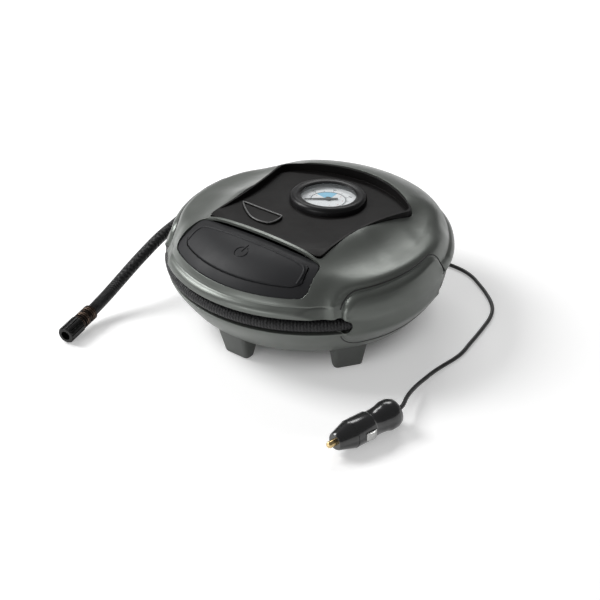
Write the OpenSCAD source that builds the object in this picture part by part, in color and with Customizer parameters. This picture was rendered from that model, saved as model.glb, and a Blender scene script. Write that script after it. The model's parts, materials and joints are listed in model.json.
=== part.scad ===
// Portable 12 V tire inflator: a round two-part housing with an air hose stowed in its waist groove,
// a recessed top panel with a dial gauge, a soft power button, and a motor and piston pump inside.
// Millimetres. Origin on the floor under the middle of the body, +Z up, front at -Y.

/* [Body] */
// Radius of the body's shoulder where it meets the waist groove
body_r = 112; // [108:0.5:116]
// Radius of the small shoulder curve
shoulder_r = 28; // [22:0.5:32]
// Radius of the larger shoulder curve
crown_blend_r = 66; // [55:1:75]
// Radius of the gently domed top
dome_r = 578; // [450:1:700]
// Wall thickness of the housing
wall = 2.6; // [2:0.1:3.2]
// How far the bead above the groove stands out of the shoulder
bead_out = 3.6; // [2.5:0.1:4.4]
// Height of the housing's underside above the floor
base_z = 14; // [10:0.5:16]
// Radius of the flat underside
base_r = 86; // [80:1:90]

/* [Hose groove] */
// Height of the hose's centre line
groove_z = 50.5; // [49:0.5:52]
// Height of the groove's mouth
groove_h = 13; // [11.5:0.1:14]
// Radius of the groove's floor where it is open
groove_floor_r = 105.2; // [104:0.1:106]
// Radius of the tunnel's inner wall behind the covers
tunnel_r = 95.2; // [94:0.1:95.4]

/* [Side covers] */
// Radius of a side cover's outermost face
cover_r = 117.2; // [116.2:0.1:118]
// Middle of the right side cover, in degrees round the body from +X
cover_mid = -15.5; // [-18:0.5:-13]
// Half width of a side cover's raised part
cover_half = 48.2; // [44:0.5:50]
// Width of the flat flange round the raised part
cover_flange = 4.2; // [3:0.1:5]
// Thickness of a side cover
cover_wall = 1.8; // [1.8:0.1:2.4]

/* [Top panel] */
// Half width of the panel across its middle
panel_half = 55.5; // [53:0.5:57]
// Distance from the middle to the panel's front edge
panel_front = 58.4; // [56:0.2:59]
// Distance from the middle to the panel's rear edge
panel_rear = 70.1; // [67:0.2:72]
// Depth of the panel's floor below the dome at the gauge
panel_depth = 9.2; // [8:0.1:10]
// Backward slope of the panel's floor, in degrees
panel_tilt = 3; // [1:0.5:4]
// Thickness of the panel's walls
panel_wall = 1.8; // [1.5:0.1:2.2]

/* [Gauge] */
// Distance of the gauge's centre behind the middle of the body
gauge_y = 20.4; // [18:0.2:23]
// Outer radius of the gauge's bezel
bezel_r = 30.3; // [29:0.1:31]
// Height of the bezel
bezel_h = 6.2; // [3:0.1:7]
// Radius of the clear opening
glass_r = 21.8; // [20.5:0.1:22.5]
// Length of the needle from its hub to its tip
needle_len = 18.5; // [16:0.5:19.5]

/* [Button] */
// Half width of the button's opening at its top corners
button_half = 57; // [54:0.5:58]
// Depth of the button's surface below the dome at its top edge
button_drop = 4; // [3.5:0.1:4.5]
// Press travel of the button
button_travel = 1.6; // [1:0.1:2]

/* [Hose] */
// Outer diameter of the air hose
hose_d = 9.6; // [9:0.1:9.8]
// Length of the ribbed ferrule behind the thumb nut
ferrule_len = 16.5; // [15:0.5:18]
// Length of the thumb nut
nut_len = 17; // [15:0.5:19]
// Radius of the thumb nut
nut_r = 6.9; // [6.6:0.1:7.4]

/* [Power lead] */
// Diameter of the power lead
lead_d = 3.2; // [3:0.1:3.4]
// Turns in each layer of the coiled lead
coil_turns = 5; // [4:1:5]
// Smallest centre line radius of the coil
coil_r = 10; // [9:0.1:12]
// Step from one turn to the next, across and up
coil_step = 4.05; // [4:0.05:4.2]
// Radius of the vehicle plug's nose
plug_r = 10.5; // [10.2:0.1:10.5]

/* [Pump] */
// Height of the motor's and the crank's axes
pump_z = 46.6; // [46:0.2:48]
// Distance of the motor's axis in front of the middle of the body
motor_y = 32; // [31:0.5:34]
// Radius of the motor's can
can_r = 17.5; // [16:0.5:18]
// Length of the motor's can
can_len = 54; // [48:1:57]
// Gear module of the pinion and the crank gear
gear_m = 0.8; // [0.78:0.01:0.82]
// Teeth on the motor's pinion
pinion_teeth = 12; // [12:1:13]
// Teeth on the crank gear
gear_teeth = 54; // [50:1:54]
// Throw of the crank
crank_throw = 4.5; // [4:0.1:4.8]
// Radius of the cylinder's bore
bore_r = 12; // [11.5:0.1:12.2]
// Radius of the cylinder's cooling fins
fin_r = 18.5; // [17:0.5:18.5]

/* [Hidden] */
$fn = 96;
fit = 0.15;
seam = 0.1;

// shoulder curves: each arc is tangent to the next, from the waist up to the dome
lip_z = groove_z + groove_h / 2;
low_z = groove_z - groove_h / 2;
bx = body_r - shoulder_r;
bz = lip_z;
join_b = 54;
ax = bx - (crown_blend_r - shoulder_r) * cos(join_b);
az = bz - (crown_blend_r - shoulder_r) * sin(join_b);
dz = az - sqrt(pow(dome_r - crown_blend_r, 2) - ax * ax);
join_a = atan2(az - dz, ax);
crown_z = dz + dome_r;
shell_top = crown_z - pow(panel_front, 2) / (2 * dome_r);

function arc(cx, cy, r, a0, a1, n) = [for (i = [0:n]) let (a = a0 + (a1 - a0) * i / n)
  [cx + r * cos(a), cy + r * sin(a)]];
function tail(v) = [for (i = [1:len(v) - 1]) v[i]];
function rev(v) = [for (i = [len(v) - 1:-1:0]) v[i]];
// the dome and shoulder, o millimetres inside the outer surface, down to angle a on the last arc
function env(o, a) = concat(
  arc(0, dz, dome_r - o, 90, join_a, 4),
  tail(arc(ax, az, crown_blend_r - o, join_a, join_b, 5)),
  tail(arc(bx, bz, shoulder_r - o, join_b, a, 5)));
function env_z(r) = r < ax * dome_r / (dome_r - crown_blend_r) ? dz + sqrt(dome_r * dome_r - r * r)
  : r < bx + shoulder_r * cos(join_b) ? az + sqrt(pow(crown_blend_r, 2) - pow(r - ax, 2))
  : bz + sqrt(pow(shoulder_r, 2) - pow(r - bx, 2));
// solid below the surface that lies o inside the dome
module under(o, z0 = 20) {
  rotate_extrude() polygon(concat(env(o, 2), [[body_r - o, z0], [0, z0]]));
}
// the same, lowered for the button's pocket, with a flatter shoulder
pk_r = 50;
pk_x = 69.6;
pk_z = dz - button_drop + sqrt(pow(dome_r - pk_r, 2) - pk_x * pk_x);
pk_a = atan2(pk_z - dz + button_drop, pk_x);
module pocket_under(o, z0 = 20) {
  rotate_extrude() polygon(concat(arc(0, dz - button_drop, dome_r - o, 90, pk_a, 4),
    tail(arc(pk_x, pk_z, pk_r - o, pk_a, 4, 12)), [[pk_x + pk_r - o, z0], [0, z0]]));
}

// panel outline in plan
function side_x(y) = panel_half + 7.4 * y / 50 + 5.4 * pow(y / 50, 2) + 0.24 * pow(y / 50, 3);
function front_y(x) = -panel_front - 0.9 * pow(x / 50, 2);
function rear_y(x) = panel_rear - 16 * pow(x / 50, 2);
function bez(a, b, c, n) = [for (i = [0:n]) let (t = i / n)
  a * (1 - t) * (1 - t) + b * 2 * t * (1 - t) + c * t * t];
function right_half(d) =
  let (fc = [side_x(-59.4) - d, front_y(54) + d], rc = [side_x(42.4) - d, 42.4 - d],
       c = 5)
  concat([for (x = [0:12:36]) [x, front_y(x) + d]],
    bez([fc[0] - c, front_y(fc[0] - c) + d], fc, [side_x(fc[1] + c) - d, fc[1] + c], 3),
    [for (y = [-42:12:30]) [side_x(y) - d, y]],
    bez([side_x(rc[1] - c - d) - d, rc[1] - c], rc, [rc[0] - c, rear_y(rc[0] - c) - d], 3),
    [for (x = [50:-12.5:12.5]) [x, rear_y(x) - d]], [[0, rear_y(0) - d]]);
function mirrored(v) = [for (p = rev(v)) if (p[0] > 0.01) [-p[0], p[1]]];
module panel_shape(d) { polygon(concat(right_half(d), mirrored(right_half(d)))); }
module panel_prism(d, z0, z1) { translate([0, 0, z0]) linear_extrude(z1 - z0) panel_shape(d); }

// the panel's floor line seen from the side, t above the floor's top face
floor_z = env_z(gauge_y) - panel_depth;
gauge_lift = bezel_h - 3;
function pf(y) = floor_z - tan(panel_tilt) * (y - gauge_y);
ramp_y = -25;
module floor_cut(t, ztop) {
  rotate([90, 0, 90]) linear_extrude(200, center = true)
    polygon([[-panel_front - 6, pf(ramp_y) + 3.4 + t], [ramp_y, pf(ramp_y) + t],
      [panel_rear + 6, pf(panel_rear + 6) + t], [panel_rear + 6, ztop], [-panel_front - 6, ztop]]);
}

// hollows beside the panel: straight cuts laid along a line that runs level beside the gauge and
// bends down to the lip in front and to the rim behind
wing_x = 197.05;
wing_y = -27;
wing_d = 94;
wing_h = 155.9 + crown_z - 95.99;
wing_r = 76.4;
wing_front = [186.9, 101.2, 8.3];
wing_rear = [163.4, 175.5, -20.7];
module wing_cut(grow) { rotate([90, 0, 0]) cylinder(r = wing_r + grow, h = 240, center = true); }
module wing_bend(b, side, angles, grow) {
  for (a = angles) translate([wing_d * cos(b[0]), wing_d * sin(b[0]), 0]) rotate([0, 0, b[0]])
    rotate([0, b[2] - 90, 0]) translate([-b[1], 0, 0]) rotate([0, 0, side * a])
    translate([b[1], 0, 0]) wing_cut(grow);
}
module wings(grow, fine) {
  for (m = [0, 1]) mirror([m, 0, 0]) translate([wing_x, wing_y, wing_h]) {
    for (a = [wing_rear[0]:(wing_front[0] - wing_rear[0]) / (fine ? 3 : 1):wing_front[0]])
      rotate([0, 0, a]) translate([wing_d, 0, 0]) wing_cut(grow);
    wing_bend(wing_front, 1, fine ? [13:13:65] : [22, 44, 66], grow);
    wing_bend(wing_rear, -1, fine ? [11:11:33] : [16, 32], grow);
  }
}

// ring sector with a revolved section
module sector(a0, a1) { rotate([0, 0, a0]) rotate_extrude(angle = a1 - a0) children(); }

// ---------------- housing
groove_w0 = tunnel_r - 2.4;
bead = [[body_r - 0.4, lip_z + 7.9], [body_r + bead_out * 0.4, lip_z + 6.6],
  [body_r + bead_out * 0.84, lip_z + 4.9], [body_r + bead_out, lip_z + 2.8],
  [body_r + bead_out * 0.89, lip_z + 1], [body_r + bead_out * 0.56, lip_z]];
closed_a0 = 9;
closed_a1 = 96;
cover_half_a = 28.2;
open_front = [216.5, 323];
open_rear = [118, 190];
root_a = 217.5;

module screw_posts(r, z0, z1) {
  for (a = [45, 135, 225, 315]) rotate([0, 0, a]) translate([84, 0, z0])
    cylinder(r = r, h = z1 - z0);
}
button_inner_half = button_half - 5.5;
// button opening in plan: d shrinks it
function button_plan(d) = concat(
  bez([-button_half + 4 + d, -61.4 - d], [-button_half - 0.6 + d, -61.8 - d],
    [-button_half - 1.4 + d, -66 - d / 2], 3),
  [[-button_half - 4.6 + d, -80]],
  bez([-button_half - 5 + d, -84 + max(0, d - 3)], [-button_half - 4.2 + d, -89 + d],
    [-button_half + 1 + d * 0.5, -91.4 + d], 3),
  [for (a = [-120:4:-60]) [(107.4 - d) * cos(a), (107.4 - d) * sin(a)]],
  bez([button_half - 1 - d * 0.5, -91.4 + d], [button_half + 4.2 - d, -89 + d],
    [button_half + 5 - d, -84 + max(0, d - 3)], 3),
  [[button_half + 4.6 - d, -80]],
  bez([button_half + 1.4 - d, -66 - d / 2], [button_half + 0.6 - d, -61.8 - d],
    [button_half - 4 - d, -61.4 - d], 3));
module button_prism(d, z0, z1) {
  translate([0, 0, z0]) linear_extrude(z1 - z0) polygon(button_plan(d));
}
pad_t = 2.4;
pocket_t = 2.2;
press_gap = button_travel + 0.5;
stem_y = -84;
seat_z = 81;

module upper_inside() {
  difference() {
    rotate_extrude() polygon(concat([[0, groove_z - 1], [groove_w0, groove_z - 1],
      [groove_w0, lip_z + 2.4], [body_r - wall - 0.2, lip_z + 2.4]], rev(env(wall, 6))));
    wings(wall + 0.8, false);
    difference() { button_prism(-wall, 40, 110); pocket_under(pad_t + press_gap + pocket_t, 40); }
    panel_prism(-2, seat_z - 2, 110);
    screw_posts(4, base_z + 8, 95);
    translate([0, stem_y, 72]) cylinder(r = 10, h = 30);
  }
}
module groove_fill(z0, z1) {
  for (s = [open_front, open_rear]) sector(s[0], s[1]) translate([tunnel_r - 1, z0])
    square([groove_floor_r - tunnel_r + 1, z1 - z0]);
}
module upper_shell() color("dimgray") difference() {
  union() {
    rotate_extrude() polygon(concat(env(0, 0), [[tunnel_r, lip_z],
      [tunnel_r, groove_z + seam / 2], [0, groove_z + seam / 2]]));
    for (s = [[cover_mid + cover_half_a, 180 - cover_mid - cover_half_a],
        [180 - cover_mid + cover_half_a, 360 + cover_mid - cover_half_a]])
      sector(s[0], s[1]) polygon(concat([[body_r - 2.2, lip_z], [body_r - 2.6, lip_z + 9]], bead));
    groove_fill(groove_z + seam / 2, lip_z + 1);
    screw_posts(4, base_z + 8, groove_z + 5);
  }
  upper_inside();
  wings(0, true);
  difference() { button_prism(0, 60, 110); pocket_under(pad_t + press_gap, 40); }
  panel_prism(0, seat_z, 110);
  panel_prism(3, 60, 110);
  translate([0, stem_y, 60]) cylinder(r = 3.2, h = 40);
  screw_posts(1.6, 0, base_z + 26);
  root_hole();
}
module root_hole() {
  rotate([0, 0, root_a]) translate([85, 0, groove_z]) rotate([0, 90, 0]) cylinder(r = 4.7, h = 30);
}

lower_open = concat([[0, base_z], [base_r, base_z]], [[base_r + 7, base_z + 4],
  [base_r + 12, base_z + 8], [body_r - 9, base_z + 13.5], [body_r - 3, low_z - 8],
  [body_r + 1, low_z - 1], [body_r + 0.4, low_z], [tunnel_r, low_z],
  [tunnel_r, groove_z - seam / 2], [groove_w0, groove_z - seam / 2], [groove_w0, low_z - 2.4],
  [body_r - 4.4, low_z - 2.4], [body_r - 5.9, low_z - 7], [body_r - 11.4, base_z + 15],
  [base_r + 10.4, base_z + 10], [base_r + 5.4, base_z + 6.3], [base_r, base_z + wall],
  [0, base_z + wall]]);
lower_closed = [[base_r - 2, base_z + 1.3], [base_r + 2, base_z + 0.7], [base_r + 7, base_z + 3],
  [base_r + 11.2, base_z + 6.5], [body_r - 11, base_z + 13], [body_r - 7.3, low_z - 7],
  [body_r - 4.4, low_z - 1], [body_r - 2.5, groove_z], [body_r - 2, lip_z - 0.3],
  [body_r - 4.4, lip_z - 0.3], [body_r - 4.9, groove_z], [body_r - 6.6, low_z],
  [body_r - 10.5, low_z], [body_r - 10.5, low_z - 2], [body_r - 8, low_z - 2.8],
  [body_r - 9.7, low_z - 6.4], [body_r - 13.4, base_z + 14], [base_r + 9, base_z + 8.6],
  [base_r + 5, base_z + 5.4], [base_r + 2, base_z + 3.2], [base_r - 2, base_z + 1.9]];
foot_angles = [26, 86, 146, 206, 266, 326];
foot_w = 20;
pad_h = 2;
module foot(z0, z1, w) {
  intersection() {
    translate([base_r - 14, -w / 2, z0]) cube([30, w, z1 - z0]);
    cylinder(r1 = base_r + 2, r2 = base_r + 6.6, h = base_z + 4);
  }
}
module lower_shell() color("darkslategray") difference() {
  union() {
    difference() {
      rotate_extrude() polygon(lower_open);
      sector(closed_a0, closed_a1) polygon([[base_r + 3, base_z - 1], [body_r + 6, base_z - 1],
        [body_r + 6, groove_z + 1], [body_r - 9, groove_z + 1], [body_r - 9, low_z - 1.2],
        [body_r - 9, low_z - 5], [base_r + 3, base_z + 12]]);
    }
    sector(closed_a0 - 1.5, closed_a1 + 1.5) polygon(lower_closed);
    groove_fill(low_z - 1, groove_z - seam / 2);
    for (a = foot_angles) rotate([0, 0, a]) foot(pad_h, base_z + 3.2, foot_w);
    screw_posts(5, base_z + 1.9, base_z + 7.9);
    for (p = mount_at) translate([p[0], p[1], base_z]) cylinder(r = 6, h = wall + 1.4);
  }
  screw_posts(1.9, 0, base_z + 20);
  screw_posts(3.8, 0, base_z + 3);
  for (p = mount_at) translate([p[0], p[1], base_z - 1]) cylinder(r = 1.6, h = 30);
  root_hole();
  rotate([0, 0, gland_a]) translate([80, 0, gland_z]) rotate([0, 90, 0]) cylinder(r = 4, h = 40);
}
module foot_pads() color("black") for (a = foot_angles) rotate([0, 0, a]) foot(0, pad_h, foot_w);
module shell_screws() color("silver") for (a = [45, 135, 225, 315]) rotate([0, 0, a])
  translate([84, 0, 0]) union() {
    translate([0, 0, base_z + 0.6]) cylinder(r = 3.4, h = 2.4);
    translate([0, 0, base_z + 1]) cylinder(r = 1.55, h = 22);
  }

// ---------------- top panel
module top_panel() color("black") difference() {
  intersection() {
    panel_prism(0.25, seat_z + 0.05, 110);
    under(0.7, 60);
    floor_cut(-2.2, 120);
  }
  intersection() { panel_prism(0.25 + panel_wall, 60, 120); floor_cut(0, 120); }
  translate([0, gauge_y, 60]) cylinder(r = 26.9, h = 60);
}
tab_mid = [-23, -37];
tab_edge = [[-46, -28.3], [-41.5, -33], [-34.8, -38.5], [-29, -42.6], [-23.7, -45.4], [-18.5, -46.9],
  [-13, -47.1], [-9, -46.4], [-5.8, -44.9], [-4.2, -41.8], [-3.6, -37.5], [-4.3, -31.5],
  [-5.6, -28.3]];
module tab_prism(d, z0, z1) {
  translate([0, 0, z0]) linear_extrude(z1 - z0)
    polygon([for (p = tab_edge) p + d * (tab_mid - p) / norm(tab_mid - p)]);
}
module panel_tab() color("black") difference() {
  intersection() { tab_prism(0.4, 60, 110); floor_cut(0.02, 120);
    rotate([90, 0, 90]) linear_extrude(200, center = true) polygon([[-60, 80], [0, 80],
      [0, pf(ramp_y) + 1.8], [-60, pf(ramp_y) + 3.4]]); }
  intersection() { tab_prism(1.9, 60, 110);
    rotate([90, 0, 90]) linear_extrude(200, center = true) polygon([[-60, pf(ramp_y) + 2.6],
      [0, pf(ramp_y) + 0.8], [0, 120], [-60, 120]]); }
}

// ---------------- gauge, in its own frame on the sloping floor
module on_panel() {
  translate([0, gauge_y, floor_z]) rotate([-panel_tilt, 0, 0]) children();
}
module on_gauge() on_panel() translate([0, 0, gauge_lift]) children();
needle_a = 222;
module gauge_bezel() color("#181a1c") on_panel() rotate_extrude() polygon([[bezel_r, 0.05],
  [bezel_r, bezel_h - 3.4], [bezel_r - 0.3, bezel_h - 2.3], [bezel_r - 0.9, bezel_h - 1.3],
  [bezel_r - 1.9, bezel_h - 0.5], [bezel_r - 3.2, bezel_h - 0.05], [bezel_r - 4.6, bezel_h],
  [glass_r + 1.9, bezel_h - 0.35], [glass_r + 0.7, bezel_h - 0.9], [glass_r, bezel_h - 1.4],
  [glass_r, bezel_h - 1.8], [glass_r + 1.4, bezel_h - 1.8], [glass_r + 1.4, 0.05]]);
module gauge_lens() color([0.8, 0.9, 0.95, 0.35]) on_panel() translate([0, 0, bezel_h - 3.1])
  cylinder(r = glass_r + 1.3, h = 1.2);
module gauge_dial() color("whitesmoke") on_gauge() translate([0, 0, -3.4]) difference() {
  cylinder(r = glass_r + 1.3, h = 0.8);
  translate([0, 0, -1]) cylinder(r = 1.2, h = 3);
}
module gauge_needle() color("black") on_gauge() union() {
  translate([0, 0, -2.2]) cylinder(r = 2.4, h = 1);
  translate([0, 0, -9]) cylinder(r = 0.9, h = 7.5);
  rotate([0, 0, needle_a]) translate([0, 0, -2]) linear_extrude(0.5)
    polygon([[-7.5, -0.9], [-7.5, 0.9], [0, 1.1], [needle_len, 0.35], [needle_len, -0.35],
      [0, -1.1]]);
}
module gauge_movement() color("goldenrod") on_gauge() difference() {
  union() {
    translate([0, 0, -12]) cylinder(r = 14, h = 8.5);
    translate([0, 10, -8]) rotate([-90, 0, 0]) cylinder(r = 2.4, h = 19);
  }
  translate([0, 0, -9.5]) cylinder(r = 0.96, h = 12);
}
module gauge_socket() color("dimgray") on_panel() difference() {
  union() {
    translate([0, 0, -14.2]) cylinder(r = 26.4, h = 14.15);
    translate([0, 0, -4.2]) cylinder(r = 26.4, h = 1);
  }
  translate([0, 0, gauge_lift - 12.05]) cylinder(r = 14.1, h = 20);
  translate([0, 0, gauge_lift - 3.45]) cylinder(r = glass_r + 1.35, h = 10);
  translate([0, 0, gauge_lift - 8]) rotate([-90, 0, 0]) cylinder(r = 2.5, h = 40);
}

// ---------------- power button
module button_skin(d, o, t) {
  intersection() {
    button_prism(d, 60, 110);
    difference() { pocket_under(o, 40); pocket_under(o + t, 30); }
    under(0.02, 40);
  }
}
module button_frame() color("#1d1f20") difference() {
  button_skin(0.3, 0, pad_t + press_gap - 0.05);
  button_prism(6.1, 50, 120);
}
module power_button() color("#202224") difference() {
  union() {
    intersection() { button_prism(6.8, 60, 110);
      difference() { pocket_under(-0.7, 40); pocket_under(pad_t, 30); } under(-0.4, 40); }
    intersection() { translate([0, stem_y, 74.5]) cylinder(r = 2.6, h = 20);
      pocket_under(1, 40); }
  }
  intersection() { translate([0, stem_y + 1, 60]) difference() {
      union() { difference() { cylinder(r = 5.6, h = 50); translate([0, 0, -1])
        cylinder(r = 4.5, h = 60); } }
      translate([-1.7, 0, -1]) cube([3.4, 20, 60]); }
    difference() { pocket_under(-2, 40); pocket_under(-0.25, 30); } }
  intersection() { translate([-0.55, stem_y + 1, 60]) cube([1.1, 8.5, 50]);
    difference() { pocket_under(-2, 40); pocket_under(-0.25, 30); } }
}
module switch_body() color("black") difference() {
  translate([-8, stem_y - 6.5, 58]) cube([16, 13, 13.95]);
  translate([0, stem_y, 60]) cylinder(r = 2.7, h = 20);
}
module switch_plunger() color("white") union() {
  translate([0, stem_y, 62.5]) cylinder(r = 2.6, h = 11.8);
}

// ---------------- side covers
function cover_outline(g) = concat(
  arc(-cover_half + 13, 50.9, 13 + g, 180, 270, 4), arc(cover_half - 17, 54.8, 17 + g, 270, 360, 4),
  arc(cover_half - 12, lip_z + 8.6, 12 + g, 0, 90, 4),
  arc(-cover_half + 14, lip_z + 3, 14 + g, 90, 180, 4));
module radial_block(g) {
  rotate([0, 0, cover_mid]) rotate([90, 0, 90]) translate([0, 0, 60]) linear_extrude(80)
    polygon(cover_outline(g));
}
cover_outer = concat(arc(cover_r - 20, lip_z + 1, 20, 62, 0, 6), [[cover_r - 0.2, low_z + 8],
  [cover_r - 0.7, low_z + 4.8], [cover_r - 1.6, low_z + 1.6], [cover_r - 2.8, low_z - 1.6],
  [cover_r - 4.3, low_z - 4.6], [cover_r - 5, low_z - 5.9]]);
function cover_inner() = [[body_r - 0.7, low_z - 5.6], [body_r + 1.3, low_z - 1.2],
  [cover_r - 3, low_z + 1], [cover_r - 2.3, low_z + 3], [cover_r - 2, low_z + 5.5],
  [cover_r - cover_wall, lip_z + 1]];
module cover_skin() {
  polygon(concat(cover_outer, cover_inner(),
    [for (a = [12:10:42]) [cover_r - 20 + (20 - cover_wall) * cos(a),
      lip_z + 1 + (20 - cover_wall) * sin(a)]],
    [[bx + (shoulder_r + fit) * cos(42), bz + (shoulder_r + fit) * sin(42)]]));
}
module cover_web() {
  difference() {
    polygon(concat(cover_outer, [[body_r - 0.7, low_z - 5.6],
      [body_r + 1.4, low_z - 1], [body_r + 0.8, low_z + fit], [groove_floor_r + fit, low_z + fit],
      [groove_floor_r + fit, lip_z - fit], [body_r + fit, lip_z - fit]],
      [for (a = [2:13:41]) [bx + (shoulder_r + fit) * cos(a),
        bz + (shoulder_r + fit) * sin(a)]]));
  }
}
module cover_flange_section() {
  polygon(concat(arc(bx, bz, shoulder_r + fit, 3, 56, 8), arc(bx, bz, shoulder_r + 1.15, 56, 3, 8)));
}
ring_r = groove_floor_r + hose_d / 2 + 0.1;
front_a = cover_mid - asin((cover_half - 0.2) / 111);
module side_cover() difference() {
  union() {
    intersection() { radial_block(0); sector(cover_mid - 28, cover_mid + 28) cover_skin(); }
    intersection() { radial_block(0); sector(front_a - 3, front_a + 1.6) cover_web(); }
    intersection() { radial_block(cover_flange);
      sector(cover_mid - 30.5, cover_mid + 30.5) cover_flange_section(); }
  }
  rotate([0, 0, front_a + 1]) translate([ring_r, 0, groove_z]) rotate([90, 0, 0])
    cylinder(r = hose_d / 2 + 0.3, h = 24, center = true);
}
module side_cover_right() color("darkslategray") side_cover();
module side_cover_left() color("darkslategray") mirror([1, 0, 0]) side_cover();

// ---------------- motor and pump
plate_x = 9.4;
plate_t = 3;
shaft_r = 1.6;
pin_r = 3;
mesh_d = gear_m * (pinion_teeth + gear_teeth) / 2 + 0.12;
crank_y = -motor_y + mesh_d;
gear_w = 6;
gear_x = plate_x - 0.6 - gear_w;
frame_z = 20;
bore_x = gear_x - 6.5;
cyl_y = 22;
cyl_len = 31;
mount_at = [[-30, -44], [56, -44], [-30, 48], [40, 48]];

// involute-like tooth outline: straight flanks between the root, pitch and tip circles
function gear_pts(n, m, ph) = [for (i = [0:n - 1]) for (k = [0:5])
  let (r = [m * n / 2 - 1.15 * m, m * n / 2, m * n / 2 + 0.9 * m, m * n / 2 + 0.9 * m, m * n / 2,
         m * n / 2 - 1.15 * m][k],
       w = [-0.36, -0.228, -0.1, 0.1, 0.228, 0.36][k],
       a = (i + w) * 360 / n + ph) [r * cos(a), r * sin(a)]];
// the pinion's tooth points along +X of the local plane, so the gear turns a gap to it
mesh_ph = 180 + 180 / gear_teeth;
module along_x(x, y, z) { translate([x, y, z]) rotate([90, 0, 90]) children(); }
module along_y(x, y, z) { translate([x, y, z]) rotate([-90, 0, 0]) children(); }

module motor_can() color("silver") along_x(plate_x + plate_t, -motor_y, pump_z) difference() {
  cylinder(r = can_r, h = can_len - 4);
  translate([0, 0, 1.2]) cylinder(r = can_r - 1.2, h = can_len);
  translate([0, 0, -1]) cylinder(r = 5, h = 4);
}
module motor_cap() color("black") along_x(plate_x + plate_t + can_len - 4, -motor_y, pump_z)
  difference() {
    union() { cylinder(r = can_r, h = 4); translate([0, 0, 3]) cylinder(r = 6, h = 4);
      translate([0, 0, -3]) cylinder(r = can_r - 1.25, h = 4); }
    translate([0, 0, -4]) cylinder(r = shaft_r + 0.06, h = 9);
  }
module motor_rotor() color("gray") union() {
  along_x(gear_x + 0.2, -motor_y, pump_z) cylinder(r = shaft_r, h = can_len + plate_t + 6);
  along_x(gear_x + 0.2, -motor_y, pump_z) linear_extrude(gear_w - 0.4)
    polygon(gear_pts(pinion_teeth, gear_m, 0));
  along_x(plate_x + plate_t + 5, -motor_y, pump_z) cylinder(r = can_r - 4, h = can_len - 16);
}
module pump_frame() color("silver") difference() {
  union() {
    translate([-36, -52, frame_z]) cube([100, 105.5, 3]);
    translate([plate_x, -motor_y - 20, frame_z]) cube([plate_t, 54, pump_z - frame_z + 12]);
    along_x(plate_x, -motor_y, pump_z) cylinder(r = 19.5, h = plate_t);
    along_x(plate_x, crank_y, pump_z) cylinder(r = 14, h = plate_t);
    along_x(plate_x, crank_y, pump_z) cylinder(r = 8, h = 10);
    translate([bore_x - 20, cyl_y - 3, frame_z]) cube([40, 3, pump_z - frame_z + 20]);
  }
  along_x(plate_x - 5, -motor_y, pump_z) cylinder(r = 4.2, h = 20);
  along_x(plate_x - 5, crank_y, pump_z) cylinder(r = 5.5, h = 30);
  along_y(bore_x, cyl_y - 10, pump_z) cylinder(r = bore_r + 0.8, h = 20);
  for (p = mount_at) translate([p[0], p[1], 0]) cylinder(r = 3, h = 60);
  translate([gear_x - 1, crank_y - 23, frame_z - 1]) cube([gear_w + 1.4, 46, 5]);
}
module crank_bush() color("goldenrod") along_x(plate_x, crank_y, pump_z) difference() {
  cylinder(r = 5.5, h = 10);
  translate([0, 0, -1]) cylinder(r = 4.05, h = 14);
}
module crank_gear() color("dimgray") union() {
  along_x(gear_x, crank_y, pump_z) difference() {
    linear_extrude(gear_w) polygon(gear_pts(gear_teeth, gear_m, mesh_ph));
    for (a = [45:90:315]) rotate([0, 0, a]) translate([13, 0, -1]) cylinder(r = 3.6, h = 12);
  }
  along_x(gear_x + gear_w - 1, crank_y, pump_z) cylinder(r = 4, h = 12);
  along_x(gear_x - 10.5, crank_y, pump_z + crank_throw) cylinder(r = pin_r, h = 11);
  along_x(gear_x - 2.4, crank_y, pump_z + crank_throw) cylinder(r = pin_r + 2, h = 2.5);
}
rod_len = cyl_y - crank_y + 9;
module piston_rod() color("silver") difference() {
  union() {
    along_x(bore_x - 3.5, crank_y, pump_z + crank_throw) cylinder(r = 6.4, h = 7);
    translate([bore_x - 2.2, crank_y, pump_z + crank_throw - 2.6]) cube([4.4, rod_len, 5.2]);
    along_x(bore_x - 3, crank_y + rod_len, pump_z + crank_throw) cylinder(r = 3.4, h = 6);
  }
  along_x(bore_x - 10, crank_y, pump_z + crank_throw) cylinder(r = pin_r + 0.05, h = 20);
}
piston_y = crank_y + rod_len + 15.5;
module piston() color("gray") difference() {
  along_y(bore_x, piston_y - 13, pump_z) cylinder(r = bore_r - 0.06, h = 13);
  along_y(bore_x, piston_y - 14, pump_z) cylinder(r = bore_r - 1.5, h = 12);
}
module pump_cylinder() color("silver") {
  difference() {
    union() {
      along_y(bore_x, cyl_y, pump_z) cylinder(r = bore_r + 2, h = cyl_len);
      along_y(bore_x, cyl_y, pump_z) cylinder(r = fin_r, h = 3);
      for (i = [1:4]) along_y(bore_x, cyl_y + 2 + i * 4.6, pump_z) cylinder(r = fin_r, h = 1.6);
      along_y(bore_x, cyl_y + cyl_len - 2, pump_z) cylinder(r = fin_r, h = 2);
    }
    along_y(bore_x, cyl_y - 1, pump_z) cylinder(r = bore_r, h = cyl_len + 2);
    for (a = [45:90:315]) along_y(bore_x, cyl_y - 1, pump_z) rotate([0, 0, a])
      translate([fin_r - 2.4, 0, 0]) cylinder(r = 1.3, h = cyl_len + 2);
  }
}

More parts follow.
